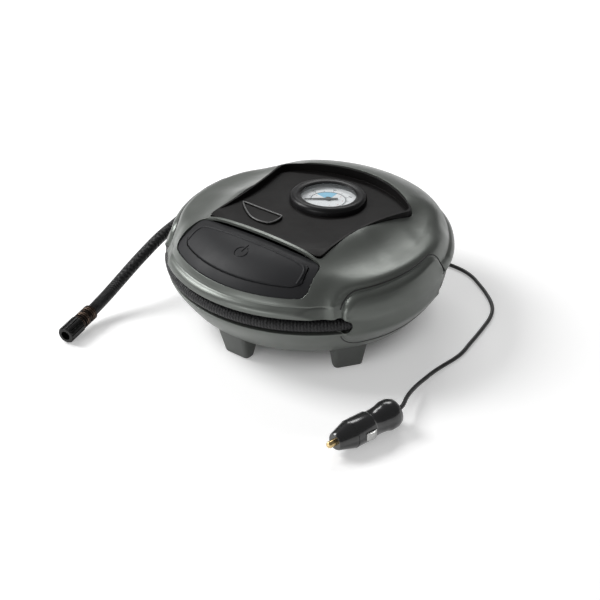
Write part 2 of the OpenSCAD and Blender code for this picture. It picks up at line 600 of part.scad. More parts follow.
head_y = cyl_y + cyl_len;
head_l = 10;
module cylinder_head() color("silver") difference() {
  union() {
    along_y(bore_x, head_y + 0.05, pump_z) cylinder(r = fin_r, h = 3);
    along_y(bore_x, head_y + 0.05, pump_z) cylinder(r = bore_r + 1, h = head_l);
    translate([bore_x, head_y + head_l / 2, pump_z]) cylinder(r = 4, h = fin_r + 2);
    translate([bore_x, head_y + head_l / 2, pump_z]) rotate([0, -90, 0])
      cylinder(r = 3.6, h = bore_r + 8);
  }
  for (a = [45:90:315]) along_y(bore_x, head_y - 1, pump_z) rotate([0, 0, a])
    translate([fin_r - 2.4, 0, 0]) cylinder(r = 1.3, h = 6);
  along_y(bore_x, head_y - 1, pump_z) cylinder(r = bore_r - 3, h = head_l - 2);
}
module head_screws() color("gray") for (a = [45:90:315])
  along_y(bore_x, 0, pump_z) rotate([0, 0, a]) translate([fin_r - 2.4, 0, 0]) union() {
    translate([0, 0, cyl_y + 0.2]) cylinder(r = 1.25, h = cyl_len + 3.4);
    translate([0, 0, head_y + 3.1]) cylinder(r = 2.3, h = 2);
  }
module vibration_mounts() color("black") for (p = mount_at) translate([p[0], p[1], 0]) union() {
  translate([0, 0, base_z + 0.4]) cylinder(r = 1.55, h = frame_z - base_z);
  translate([0, 0, base_z + wall + 1.45]) cylinder(r = 5.6, h = frame_z - base_z - wall - 1.5);
  translate([0, 0, frame_z - 1]) cylinder(r = 2.9, h = 5);
  translate([0, 0, frame_z + 3.05]) cylinder(r = 5.4, h = 2);
}
// rigid air pipes inside
pipe_r = 2;
gauge_out = gauge_y + 29 * cos(panel_tilt) + (gauge_lift - 8) * sin(panel_tilt);
gauge_out_z = floor_z + (gauge_lift - 8) * cos(panel_tilt) - 29 * sin(panel_tilt);
head_top = pump_z + fin_r + 2;
module gauge_tube() color("saddlebrown") sweep_tube(pipe_r, 10, [[0, gauge_out + 0.1, gauge_out_z],
  [0, gauge_out + 3.6, gauge_out_z - 0.2], [-0.6, gauge_out + 7, gauge_out_z - 2],
  [-1.6, head_y + head_l / 2 + 3.6, (gauge_out_z + head_top) / 2 + 0.5],
  [-3.4, head_y + head_l / 2 + 0.6, head_top + 4.4],
  [bore_x - 0.2, head_y + head_l / 2 + 0.1, head_top + 2.2],
  [bore_x, head_y + head_l / 2, head_top + 0.12]]);
module air_tube() color("saddlebrown") sweep_tube(pipe_r, 10, [
  [bore_x - bore_r - 8.2, head_y + head_l / 2, pump_z], [-29, 57.5, pump_z],
  [-40, 52, pump_z - 2], [-50, 38, pump_z - 2], [-54, 15, pump_z], [-56, -12, pump_z + 1],
  [-60, -38, groove_z], [-66.2, -50.8, groove_z],
  [85.9 * cos(root_a), 85.9 * sin(root_a), groove_z]]);

// ---------------- hoses and leads, swept along their centre lines
function unit(v) = v / norm(v);
function tangent(p, i) = unit(p[min(i + 1, len(p) - 1)] - p[max(i - 1, 0)]);
function ring_pts(c, t, r, n) = let (s = unit(cross(t, [0, 0, 1])), u = cross(s, t))
  [for (k = [0:n - 1]) c + r * (cos(360 * k / n) * s + sin(360 * k / n) * u)];
module sweep_tube(r, n, p) {
  m = len(p);
  polyhedron(points = [for (i = [0:m - 1]) each ring_pts(p[i], tangent(p, i), r, n)],
    faces = concat([[for (k = [0:n - 1]) k]],
      [for (i = [0:m - 2]) for (k = [0:n - 1]) let (a = i * n + k, b = i * n + (k + 1) % n)
        each [[a, a + n, b + n], [a, b + n, b]]],
      [[for (k = [n - 1:-1:0]) (m - 1) * n + k]]));
}
function ease(t) = let (c = max(0, min(1, t))) c * c * (3 - 2 * c);
tunnel_hose_r = tunnel_r + hose_d / 2 + 1.2;
wrap_a0 = 222;
wrap_a1 = 505;
function hose_r(a) = ring_r - (ring_r - tunnel_hose_r) * (ease((a - 324) / 22)
  - ease((a - 455) / 22));
module hose_root() color("goldenrod") difference() {
  union() {
    rotate([0, 0, root_a]) translate([86, 0, groove_z]) rotate([0, 90, 0])
      cylinder(r = 4.6, h = ring_r - 86);
    rotate([0, 0, root_a]) translate([ring_r, 0, groove_z]) sphere(r = 4.6);
    translate(ring_r * [cos(root_a), sin(root_a), 0] + [0, 0, groove_z])
      rotate([0, 90, atan2(sin(wrap_a0) - sin(root_a), cos(wrap_a0) - cos(root_a))])
      cylinder(r = 4.2, h = 2 * ring_r * sin((wrap_a0 - root_a) / 2) - 0.1);
  }
  rotate([0, 0, root_a]) translate([80, 0, groove_z]) rotate([0, 90, 0])
    cylinder(r = 1.8, h = ring_r - 80);
}
module hose_wrap() color("#1a1a1a") sweep_tube(hose_d / 2, 10,
  [for (i = [0:52]) let (a = wrap_a0 + (wrap_a1 - wrap_a0) * i / 52)
    [hose_r(a) * cos(a), hose_r(a) * sin(a), groove_z]]);
free_pts = [[-102.5, 47, 50.4], [-112.8, 32, 50], [-121.2, 17, 49], [-123.6, 2, 47],
  [-123.6, -12, 45], [-122.8, -26, 42.8], [-120.8, -44, 41], [-119, -62, 37],
  [-118.8, -79, 30.6], [-119.6, -95, 22.7], [-120.2, -105, 17.65], [-120.4, -111, 14.96],
  [-120.25, -117, 12.88], [-119.75, -122, 11.61]];
nut_dir = unit([0.17, -0.98, -0.1]);
nut_at = [-118.8, -128.5, 10.6];
exit_p = ring_r * [cos(wrap_a1), sin(wrap_a1), 0] + [0, 0, groove_z];
exit_d = [-sin(wrap_a1), cos(wrap_a1), 0];
module hose_free() color("#1a1a1a") sweep_tube(hose_d / 2, 10, concat([exit_p + 0.1 * exit_d,
  exit_p + hose_d * exit_d], free_pts, [nut_at - 3.4 * nut_dir, nut_at - 0.1 * nut_dir]));
module at_nut() {
  translate(nut_at) rotate([0, acos(nut_dir[2]), atan2(nut_dir[1], nut_dir[0])]) children();
}
nipple_r = 2.9;
valve_r = 3.85;
rib_n = 8;
module hose_ferrule() color("#8a6a3a") at_nut() difference() {
  union() {
    cylinder(r = 5.7, h = ferrule_len);
    for (i = [0:rib_n - 1]) translate([0, 0, (i + 0.25) * ferrule_len / rib_n])
      cylinder(r = 6.3, h = ferrule_len / rib_n / 2);
  }
  translate([0, 0, -1]) cylinder(r = nipple_r + 0.05, h = ferrule_len + 2);
}
module hose_nipple() color("goldenrod") at_nut() difference() {
  union() {
    translate([0, 0, 0.1]) cylinder(r = nipple_r, h = ferrule_len + 6);
    translate([0, 0, ferrule_len + 3.1]) cylinder(r = valve_r + 0.4, h = 2.4);
  }
  translate([0, 0, 1]) cylinder(r = 1.5, h = ferrule_len + 10);
}
module thumb_nut() color("goldenrod") at_nut() translate([0, 0, ferrule_len + 0.3]) difference() {
  union() {
    cylinder(r = nut_r - 0.7, h = nut_len);
    intersection() {
      rotate_extrude() polygon([[0, 0], [nut_r - 0.9, 0], [nut_r, 0.9], [nut_r, nut_len - 0.9],
        [nut_r - 0.9, nut_len], [0, nut_len]]);
      union() for (k = [0:11]) rotate([0, 0, k * 30]) translate([0, -1.2, 0])
        cube([nut_r + 1, 2.4, nut_len]);
    }
  }
  translate([0, 0, -1]) cylinder(r = nipple_r + 0.06, h = nut_len);
  translate([0, 0, 2.7]) cylinder(r = valve_r + 0.5, h = 3.4);
  translate([0, 0, 6]) cylinder(r = valve_r, h = nut_len);
}

gland_a = 122;
gland_z = 27;
gland_out = 122;
module lead_gland() color("black") rotate([0, 0, gland_a]) translate([0, 0, gland_z])
  rotate([0, 90, 0]) difference() {
    union() {
      translate([0, 0, 92]) cylinder(r = 3.9, h = 18);
      translate([0, 0, 91.2]) cylinder(r = 5.5, h = 1.9);
      translate([0, 0, 109]) cylinder(r1 = 5, r2 = 2.6, h = gland_out - 109);
    }
    translate([0, 0, 90]) cylinder(r = 1.2, h = 10);
  }
coil_at = [-42, 142];
coil_end = 190;
layers = 4;
coil_out = coil_r + coil_turns * coil_step;
coil_total = layers * coil_turns + (layers - 1) / 2;
lead_z = lead_d / 2 + 0.05;
function coil_pt(u) = let (k = min(layers - 1, floor(u / (coil_turns + 0.5))),
    t = u - k * (coil_turns + 0.5), s = min(t, coil_turns) * coil_step,
    r = k % 2 == 0 ? coil_out - s : coil_r + s,
    z = lead_z + coil_step * (k + ease((t - coil_turns) * 2)),
    a = coil_end + (u - coil_total) * 360)
  [coil_at[0] + r * cos(a), coil_at[1] + r * sin(a), z];
coil_n = round(coil_total * 24);
coil_path = [for (i = [0:coil_n]) coil_pt(coil_total * i / coil_n)];
module lead_coil() color("#161616") {
  gap = min([for (i = [0:3:coil_n - 13]) for (j = [i + 12:coil_n])
    norm(coil_path[i] - coil_path[j])]) - lead_d;
  echo(least_gap_between_turns = gap);
  sweep_tube(lead_d / 2, 6, coil_path);
}
coil_a = coil_path[0];
coil_b = coil_path[coil_n];
coil_a_dir = unit(coil_path[1] - coil_path[0]);
coil_b_dir = unit(coil_path[coil_n] - coil_path[coil_n - 1]);
gland_dir = [cos(gland_a), sin(gland_a), 0];
gland_tip = gland_out * gland_dir + [0, 0, gland_z];
module lead_inner() color("#161616") sweep_tube(lead_d / 2, 8, [gland_tip + 0.05 * gland_dir,
  gland_tip + 3.3 * gland_dir, [-71, 113, 24.5], [-72.6, 121, 18.5], [-72, 128.5, 14],
  coil_b + 3.4 * coil_b_dir, coil_b + 0.05 * coil_b_dir]);
lead_pts = [[-12, 134, lead_z], [-5, 124.5, lead_z], [10, 119, lead_z], [40, 119.5, lead_z],
  [60, 120, lead_z], [74.3, 116.6, lead_z], [90, 107.5, lead_z], [102.5, 98.5, lead_z],
  [112, 90, lead_z], [118.5, 81.5, lead_z], [123.5, 70, lead_z], [126.5, 57.5, lead_z],
  [129, 44.5, lead_z], [131.5, 29.5, lead_z], [134, 14.5, lead_z], [134, 5, lead_z],
  [133, -6.5, 1.9], [132.5, -18.5, 2.6], [134, -34, 4.5], [137, -52, 7.5], [141, -67, 9.8]];
plug_rear = [146.2, -88, 11.2];
plug_dir = unit([-12.5, -63, 0]);
module lead_outer() color("#161616") sweep_tube(lead_d / 2, 8, concat([
  coil_a - 0.05 * coil_a_dir, coil_a - 3.4 * coil_a_dir], lead_pts,
  [plug_rear - 3.4 * plug_dir, plug_rear - 0.05 * plug_dir]));

// ---------------- vehicle plug, along its own axis
module at_plug() {
  translate(plug_rear) rotate([0, 90, atan2(plug_dir[1], plug_dir[0])]) children();
}
grip_r = plug_r + 0.6;
body_l = 44;
nose_l = 14;
contact_s = 33;
tip_travel = 2.5;
module plug_body() color("#202020") at_plug() difference() {
  rotate_extrude() polygon([[0, 0], [3.6, 0], [7.5, 1], [9.8, 2.6], [grip_r, 6], [grip_r, 11],
    [grip_r - 1.1, 15], [grip_r - 1.6, 20], [grip_r - 1.6, 26], [plug_r, 28], [plug_r, body_l],
    [0, body_l]]);
  translate([0, 0, 12]) cylinder(r = 3.5, h = body_l);
  translate([-3.2, -plug_r - 2, contact_s - 5]) cube([6.4, 2 * plug_r + 4, 10]);
}
module plug_nose() color("#202020") at_plug() translate([0, 0, body_l + 0.05]) difference() {
  rotate_extrude() polygon([[0, 0], [plug_r - 0.3, 0], [plug_r - 0.3, 1], [6.6, nose_l - 1],
    [5.8, nose_l], [0, nose_l]]);
  translate([0, 0, -1]) cylinder(r = 3.5, h = nose_l - 1.5);
  translate([0, 0, -1]) cylinder(r = 2.6, h = nose_l + 4);
}
module plug_tip() color("goldenrod") at_plug() translate([0, 0, body_l + nose_l]) union() {
  translate([0, 0, -5.4]) cylinder(r = 3.4, h = 2.7);
  translate([0, 0, -5]) cylinder(r = 2.52, h = 9.4);
  translate([0, 0, 4.4]) sphere(r = 2.52);
}
module plug_fuse() color("silver") at_plug() translate([0, 0, 20]) union() {
  cylinder(r = 3.4, h = 5);
  cylinder(r = 2.6, h = 28);
  translate([0, 0, 25]) cylinder(r = 3.4, h = 5);
}
module contact() {
  intersection() {
    translate([-2.9, 3.8, contact_s - 4.7]) cube([5.8, 12, 9.4]);
    translate([0, plug_r - 5.4, contact_s]) rotate([0, 90, 0]) cylinder(r = 7.2, h = 20,
      center = true);
  }
}
module plug_contact_right() color("silver") at_plug() mirror([0, 1, 0]) contact();
module plug_contact_left() color("silver") at_plug() contact();

lower_shell();
foot_pads();
upper_shell();
shell_screws();
top_panel();
panel_tab();
gauge_bezel();
gauge_lens();
gauge_dial();
gauge_needle();
gauge_movement();
gauge_socket();
button_frame();
power_button();
switch_body();
switch_plunger();
side_cover_right();
side_cover_left();
motor_can();
motor_cap();
motor_rotor();
pump_frame();
crank_bush();
crank_gear();
piston_rod();
piston();
pump_cylinder();
cylinder_head();
head_screws();
vibration_mounts();
gauge_tube();
air_tube();
hose_root();
hose_wrap();
hose_free();
hose_ferrule();
hose_nipple();
thumb_nut();
lead_gland();
lead_inner();
lead_coil();
lead_outer();
plug_body();
plug_nose();
plug_tip();
plug_contact_right();
plug_contact_left();
plug_fuse();
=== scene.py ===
"""The looks of a round tire inflator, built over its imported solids.

Sizes are in millimetres, and MM turns them into metres.
"""
import json
import math

import bmesh
import bpy
from mathutils import Matrix, Vector
from mathutils.bvhtree import BVHTree
from mathutils.geometry import interpolate_bezier


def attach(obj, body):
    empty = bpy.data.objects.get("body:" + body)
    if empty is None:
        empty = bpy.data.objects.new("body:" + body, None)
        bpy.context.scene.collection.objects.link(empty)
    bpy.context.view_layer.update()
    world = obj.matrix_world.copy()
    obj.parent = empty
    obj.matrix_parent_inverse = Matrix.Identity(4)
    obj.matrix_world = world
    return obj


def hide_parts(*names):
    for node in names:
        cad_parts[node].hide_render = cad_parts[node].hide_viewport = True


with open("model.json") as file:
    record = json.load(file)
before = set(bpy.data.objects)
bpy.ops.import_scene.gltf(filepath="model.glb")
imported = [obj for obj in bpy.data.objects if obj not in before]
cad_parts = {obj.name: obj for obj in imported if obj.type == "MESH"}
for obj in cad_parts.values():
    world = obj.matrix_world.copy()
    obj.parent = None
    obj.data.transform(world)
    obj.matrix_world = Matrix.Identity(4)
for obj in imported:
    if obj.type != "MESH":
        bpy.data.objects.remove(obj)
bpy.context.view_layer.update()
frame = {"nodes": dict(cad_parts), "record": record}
nodes = frame["nodes"]
MM = 0.001


# ---------------------------------------------------------------- camera
TURN, RISE, REACH = math.radians(38.44), math.radians(31.38), 1.2
AIM_Z, SHIFT_X, SHIFT_Y = 0.00464, -0.01988, 0.00062


def aim_camera():
    data = bpy.data.cameras.new("camera")
    data.lens, data.sensor_width = 90, 36
    data.shift_x, data.shift_y = SHIFT_X, SHIFT_Y
    data.clip_start, data.clip_end = 0.05, 20
    camera = bpy.data.objects.new("camera", data)
    camera.location = (REACH * math.sin(TURN) * math.cos(RISE), -REACH * math.cos(TURN) * math.cos(RISE),
                       AIM_Z + REACH * math.sin(RISE))
    camera.rotation_euler = (math.pi / 2 - RISE, 0, TURN)
    bpy.context.collection.objects.link(camera)
    bpy.context.scene.camera = camera


aim_camera()


# ---------------------------------------------------------------- making pieces
def place(name, mesh, material, body="housing", smooth=True):
    """Makes a mesh a piece of the object that rides on a body."""
    piece = bpy.data.objects.new(name, mesh)
    bpy.context.collection.objects.link(piece)
    for polygon in mesh.polygons:
        polygon.use_smooth = smooth
    mesh.materials.clear()
    mesh.materials.append(material)
    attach(piece, body)
    return piece


def from_bmesh(name, bm, material, body="housing", smooth=True):
    mesh = bpy.data.meshes.new(name)
    bm.to_mesh(mesh)
    bm.free()
    return place(name, mesh, material, body, smooth)


def draft_object(name, bm):
    """A bmesh as an object that is no piece: a tool, a draft or the floor."""
    mesh = bpy.data.meshes.new(name)
    bm.to_mesh(mesh)
    bm.free()
    draft = bpy.data.objects.new(name, mesh)
    bpy.context.collection.objects.link(draft)
    return draft


def give_wall(draft, thickness):
    """Thickens a skin inward."""
    wall = draft.modifiers.new("wall", "SOLIDIFY")
    wall.thickness, wall.offset = thickness * MM, -1


def as_mesh(draft, *tools):
    """The draft's finished mesh with the tools' shapes cut out; the draft and the tools go."""
    for tool in tools:
        cut = draft.modifiers.new(tool.name, "BOOLEAN")
        cut.operation, cut.solver, cut.object = "DIFFERENCE", "EXACT", tool
    bpy.context.view_layer.update()
    mesh = bpy.data.meshes.new_from_object(draft.evaluated_get(bpy.context.evaluated_depsgraph_get()))
    for used in (draft, *tools):
        bpy.data.objects.remove(used)
    return mesh


def surface_of(piece):
    """A piece's faces as a tree that rays can hit."""
    mesh = piece.data
    return BVHTree.FromPolygons([v.co for v in mesh.vertices], [p.vertices for p in mesh.polygons])


def relax(bm, verts, passes):
    """Smooths some of a shape's vertices."""
    for _ in range(passes):
        bmesh.ops.smooth_vert(bm, verts=verts, factor=0.5, use_axis_x=True, use_axis_y=True,
                              use_axis_z=True)


def smooth_line(points):
    """A round cord's centre line: a curve with automatic handles through the route's points."""
    curve = bpy.data.curves.new("route", "CURVE")
    curve.dimensions = "3D"
    curve.resolution_u = 4
    spline = curve.splines.new("BEZIER")
    spline.bezier_points.add(len(points) - 1)
    for knot, point in zip(spline.bezier_points, points):
        knot.co = point
        knot.handle_left_type = knot.handle_right_type = "AUTO"
    return curve


def tube(name, points, radius, material, sides=3, body="housing"):
    """A round tube along a route, with U along it and V round it, and the route that it follows."""
    curve = smooth_line(points)
    curve.bevel_depth = radius
    curve.bevel_resolution = sides
    curve.use_fill_caps = True
    draft = bpy.data.objects.new("draft", curve)
    bpy.context.collection.objects.link(draft)
    mesh = as_mesh(draft)
    mesh.name = name
    knots = curve.splines[0].bezier_points
    path = [tuple(knots[0].co)]
    for a, b in zip(knots[:-1], knots[1:]):
        path += [tuple(p) for p in interpolate_bezier(a.co, a.handle_right, b.handle_left, b.co, 5)[1:]]
    piece = place(name, mesh, material, body)
    return piece, path


def ease(t):
    """A soft step from nought to one."""
    c = max(0.0, min(1.0, t))
    return c * c * (3 - 2 * c)


def unit(v):
    return Vector(v).normalized()


# ---------------------------------------------------------------- node helpers
class Nodes:
    """A material's node tree, and short ways to add its nodes."""

    def __init__(self, name):
        self.material = bpy.data.materials.new(name)
        self.material.use_nodes = True
        self.tree = self.material.node_tree
        self.tree.nodes.clear()
        self.out = self.node("ShaderNodeOutputMaterial")

    def link(self, a, b):
        self.tree.links.new(a, b)

    def node(self, kind, **values):
        made = self.tree.nodes.new(kind)
        for key, value in values.items():
            setattr(made, key, value)
        return made

    def place(self):
        return self.node("ShaderNodeTexCoord").outputs["Object"]

    def uv(self):
        return self.node("ShaderNodeTexCoord").outputs["UV"]

    def noise(self, scale, detail=3.0, rough=0.55, at=None):
        made = self.node("ShaderNodeTexNoise")
        made.inputs["Scale"].default_value = scale
        made.inputs["Detail"].default_value = detail
        made.inputs["Roughness"].default_value = rough
        self.link(at or self.place(), made.inputs["Vector"])
        return made.outputs["Fac"]

    def math(self, kind, a, b=None):
        made = self.node("ShaderNodeMath", operation=kind)
        for socket, value in zip(made.inputs, (a, b)):
            if value is None:
                continue
            if isinstance(value, (int, float)):
                socket.default_value = value
            else:
                self.link(value, socket)
        return made.outputs[0]

    def wave(self, value, turns):
        """A row of round crests, from nought to one."""
        return self.math("ABSOLUTE", self.math("SINE", self.math("MULTIPLY", value, turns)))

    def spread(self, value, low, high, start=0.0, end=1.0, kind="LINEAR"):
        """Maps a value from start..end to low..high, and clamps it there."""
        made = self.node("ShaderNodeMapRange", interpolation_type=kind)
        self.link(value, made.inputs["Value"])
        for key, number in (("From Min", start), ("From Max", end), ("To Min", low), ("To Max", high)):
            made.inputs[key].default_value = number
        return made.outputs["Result"]

    def mix(self, share, a, b, blend="MIX"):
        made = self.node("ShaderNodeMix", data_type="RGBA", blend_type=blend)
        if isinstance(share, (int, float)):
            made.inputs[0].default_value = share
        else:
            self.link(share, made.inputs[0])
        for socket, value in ((made.inputs[6], a), (made.inputs[7], b)):
            if isinstance(value, tuple):
                socket.default_value = (*value, 1.0)
            else:
                self.link(value, socket)
        return made.outputs[2]

    def rounded(self, radius):
        made = self.node("ShaderNodeBevel", samples=6)
        made.inputs["Radius"].default_value = radius
        return made.outputs["Normal"]

    def bump(self, height, depth, normal=None, strength=1.0):
        made = self.node("ShaderNodeBump")
        made.inputs["Strength"].default_value = strength
        made.inputs["Distance"].default_value = depth
        self.link(height, made.inputs["Height"])
        if normal is not None:
            self.link(normal, made.inputs["Normal"])
        return made.outputs["Normal"]

    def edges(self, normal):
        """Near one at a sharp edge and nought on open faces."""
        dot = self.node("ShaderNodeVectorMath", operation="DOT_PRODUCT")
        self.link(normal, dot.inputs[0])
        self.link(self.node("ShaderNodeNewGeometry").outputs["Normal"], dot.inputs[1])
        return self.spread(dot.outputs["Value"], 1.0, 0.0, 0.72, 0.985)


class Finish(Nodes):
    """A material with a Principled shader."""

    def __init__(self, name):
        super().__init__(name)
        self.shader = self.node("ShaderNodeBsdfPrincipled")
        self.link(self.shader.outputs[0], self.out.inputs["Surface"])

    def set(self, **values):
        """Sets the shader's plain inputs, with _ for the spaces in their names."""
        for key, value in values.items():
            self.shader.inputs[key.replace("_", " ")].default_value = value

    def drive(self, **sockets):
        """Links nodes to the shader's inputs, with _ for the spaces in their names."""
        for key, socket in sockets.items():
            self.link(socket, self.shader.inputs[key.replace("_", " ")])


def shade(colour, factor):
    return tuple(min(1.0, c * factor) for c in colour)


PATCH_SCALE, SMEAR_SCALE, EDGE_HIGHLIGHT_SCALE = 22, 60, 160


def moulded(name, colour, rough, grain=0.0006, depth=0.00002, metallic=0.0, coat=0.0, edge=0.0006,
            edge_light=1.35, patch=0.10, specular=0.5):
    """Moulded plastic or rubber: fine grain, soft patches of colour and gloss, and a painted highlight that
    lightens its sharp edges in patches.
    """
    f = Finish(name)
    body = f.mix(f.noise(PATCH_SCALE), shade(colour, 1 - patch), shade(colour, 1 + patch))
    normal = f.rounded(edge)
    # painted highlight: sharp edges are lightened by edge_light, broken up by noise
    uneven = f.spread(f.noise(EDGE_HIGHLIGHT_SCALE, 4), 0.15, 0.9, 0.35, 0.65)
    body = f.mix(f.math("MULTIPLY", f.edges(normal), uneven), body, shade(colour, edge_light))
    smears = f.math("ADD", f.spread(f.noise(SMEAR_SCALE, 4), -0.05, 0.05, 0.3, 0.7), rough)
    f.set(Metallic=metallic, Coat_Weight=coat, Coat_Roughness=0.22, Specular_IOR_Level=specular)
    f.drive(Base_Color=body, Roughness=smears, Normal=f.bump(f.noise(1 / grain, 2, 0.5), depth, normal))
    return f.material


TOOL_LINE_SCALE, TARNISH_SCALE, TOOL_LINE_DEPTH = 900, 90, 0.00001


def metal(name, colour, rough, edge=0.0003, tarnish=None):
    """Machined metal: fine tool lines, a little tarnish in patches."""
    f = Finish(name)
    lines = f.noise(TOOL_LINE_SCALE, 2, 0.5)
    patches = f.spread(f.noise(TARNISH_SCALE, 5, 0.6), 0.0, 1.0, 0.42, 0.7)
    f.set(Metallic=1.0)
    f.drive(Base_Color=f.mix(patches, colour, tarnish or shade(colour, 0.72)),
            Roughness=f.math("ADD", f.spread(lines, -0.06, 0.08, 0.3, 0.7), rough),
            Normal=f.bump(lines, TOOL_LINE_DEPTH, f.rounded(edge)))
    return f.material


YARN_PITCH, RING_PITCH, YARNS_ROUND, FIBRE_SCALE, BRAID_DEPTH = 0.0030, 0.0023, 10, 4200, 0.0005


def braided(name, length, colour=(0.0085, 0.0085, 0.0092)):
    """A hose's braided cover: yarns that pass over and under each other, over the hose's rings, with a
    painted highlight that lightens the yarn crowns.
    """
    f = Finish(name)
    parts = f.node("ShaderNodeSeparateXYZ")
    f.link(f.uv(), parts.inputs[0])
    along = f.math("MULTIPLY", parts.outputs[0], round(length / YARN_PITCH))
    around = f.math("MULTIPLY", parts.outputs[1], YARNS_ROUND)
    ways = f.math("ADD", along, around), f.math("SUBTRACT", along, around)
    crowns = [f.wave(way, math.pi) for way in ways]
    turn = f.math("MODULO", f.math("ADD", *[f.math("FLOOR", way) for way in ways]), 2)
    turn = f.math("ABSOLUTE", turn)
    over = f.math("ADD", f.math("MULTIPLY", crowns[0], turn),
                  f.math("MULTIPLY", crowns[1], f.math("SUBTRACT", 1, turn)))
    fibres = f.noise(FIBRE_SCALE, 2)
    rings = f.wave(parts.outputs[0], math.pi * round(length / RING_PITCH))
    height = f.math("ADD", f.math("MULTIPLY", over, 0.45), f.math("MULTIPLY", fibres, 0.12))
    # painted highlight: the yarns' crowns are lightened in the colour
    crown_highlight = f.spread(f.math("MULTIPLY", over, fibres), 0.0, 1.0, 0.32, 0.75)
    f.set(Specular_IOR_Level=0.3)
    f.drive(Base_Color=f.mix(crown_highlight, colour, shade(colour, 3.5)), Roughness=f.spread(rings, 0.60, 0.30),
            Normal=f.bump(f.math("ADD", height, rings), BRAID_DEPTH))
    return f.material


def ribbed_metal(name, colour, groove, rough, way, pitch):
    """Dark metal with crimped rings round an axis."""
    f = Finish(name)
    dot = f.node("ShaderNodeVectorMath", operation="DOT_PRODUCT")
    f.link(f.place(), dot.inputs[0])
    dot.inputs[1].default_value = way
    rings = f.wave(dot.outputs["Value"], math.pi / pitch)
    uneven = f.spread(f.noise(500, 4), 0.0, 1.0, 0.4, 0.75)
    crest = f.math("MULTIPLY", f.spread(rings, 0.0, 1.0, 0.55, 0.95), f.spread(uneven, 0.45, 1.0))
    f.set(Metallic=0.9)
    f.drive(Base_Color=f.mix(crest, groove, colour), Roughness=f.spread(rings, 0.55, rough),
            Normal=f.bump(rings, 0.0005))
    return f.material


def clear_lens(name):
    """Clear plastic with a faint haze."""
    f = Finish(name)
    haze = f.noise(140, 4)
    f.set(Alpha=0.07, IOR=1.49, Coat_Weight=1.0, Coat_Roughness=0.03)
    f.drive(Base_Color=f.mix(haze, (0.82, 0.88, 0.90), (0.93, 0.97, 0.99)),
            Roughness=f.spread(haze, 0.03, 0.10))
    return f.material


def printed(name, colour):
    """Printing ink, a little worn."""
    f = Finish(name)
    uneven = f.spread(f.noise(700, 4), 0.0, 0.35, 0.4, 0.8)
    f.drive(Base_Color=f.mix(uneven, colour, shade(colour, 1.4)), Roughness=f.spread(uneven, 0.45, 0.6))
    return f.material


# ---------------------------------------------------------------- finishes
SHELL = (0.134, 0.145, 0.133)
NUT_WAY = (0.17, -0.98, -0.1)
# edge_light sets how far each finish's painted edge highlight lightens its sharp edges
shell_paint = moulded("shell_satin_plastic", SHELL, 0.37, grain=0.0005, depth=0.000006, metallic=0.55,
                      coat=0.10, edge=0.0004, edge_light=1.2)
base_paint = moulded("base_satin_plastic", shade(SHELL, 1.05), 0.42, grain=0.0005, depth=0.000010,
                     metallic=0.5, coat=0.10, edge=0.0007, edge_light=1.5)
cover_paint = moulded("cover_satin_plastic", shade(SHELL, 0.95), 0.37, grain=0.0005, depth=0.000008,
                      metallic=0.6, coat=0.12, edge=0.0006, edge_light=1.4)
panel_black = moulded("panel_grained_plastic", (0.0075, 0.0068, 0.0066), 0.46, grain=0.00045,
                      depth=0.000022, edge=0.0004, edge_light=3.0, specular=0.13)
bezel_black = moulded("bezel_satin_plastic", (0.0075, 0.0072, 0.0078), 0.34, grain=0.0004, depth=0.000006,
                      edge=0.0005, edge_light=1.6, specular=0.25)
pad_rubber = moulded("button_soft_rubber", (0.0185, 0.0188, 0.0205), 0.50, grain=0.0004, depth=0.00003,
                     edge=0.0006, edge_light=1.8, specular=0.2)
foot_rubber = moulded("foot_rubber", (0.082, 0.088, 0.082), 0.55, grain=0.0006, depth=0.00005,
                      edge=0.0008, edge_light=1.5)
seam_black = moulded("seam_rubber", (0.02, 0.021, 0.02), 0.6, grain=0.0004, depth=0.000004, edge=0.0002)
# painted highlight: a lighter grey for the rim round the tab, standing in for light along its edge
tab_rim_highlight = moulded("tab_rim_painted_highlight", (0.10, 0.10, 0.10), 0.35, grain=0.0004, depth=0.000004, edge=0.0002)
inner_black = moulded("inner_plastic", (0.05, 0.05, 0.05), 0.5)
dial_white = moulded("dial_enamel", (0.88, 0.90, 0.91), 0.42, grain=0.0004, depth=0.000004, edge=0.0001,
                     patch=0.04, edge_light=1.05)
needle_black = moulded("needle_enamel", (0.012, 0.012, 0.012), 0.4, grain=0.0003, depth=0.000003,
                       edge=0.00008)
plug_gloss = moulded("plug_gloss_plastic", (0.012, 0.012, 0.013), 0.20, grain=0.0008, depth=0.000004,
                     coat=0.5, edge=0.0004, edge_light=2.0)
lead_rubber = moulded("lead_rubber", (0.014, 0.014, 0.015), 0.42, grain=0.0006, depth=0.00001, edge=0.0001)
nut_black = moulded("nut_black_oxide", (0.013, 0.013, 0.013), 0.30, grain=0.0003, depth=0.000006,
                    metallic=0.6, edge=0.0003, edge_light=2.6)
ferrule_bronze = ribbed_metal("ferrule_dark_bronze", (0.22, 0.15, 0.11), (0.012, 0.010, 0.009), 0.26,
                              way=unit(NUT_WAY), pitch=0.0016)
brass = metal("brass", (0.78, 0.60, 0.32), 0.26, tarnish=(0.50, 0.36, 0.17))
steel = metal("steel", (0.58, 0.58, 0.57), 0.32)
alloy = metal("cast_alloy", (0.66, 0.67, 0.68), 0.42, edge=0.0004)
lens = clear_lens("clear_lens")
print_dark = printed("dial_print_dark", (0.045, 0.05, 0.055))
print_blue = printed("dial_print_blue", (0.22, 0.56, 0.78))
print_red = printed("dial_print_red", (0.50, 0.13, 0.08))

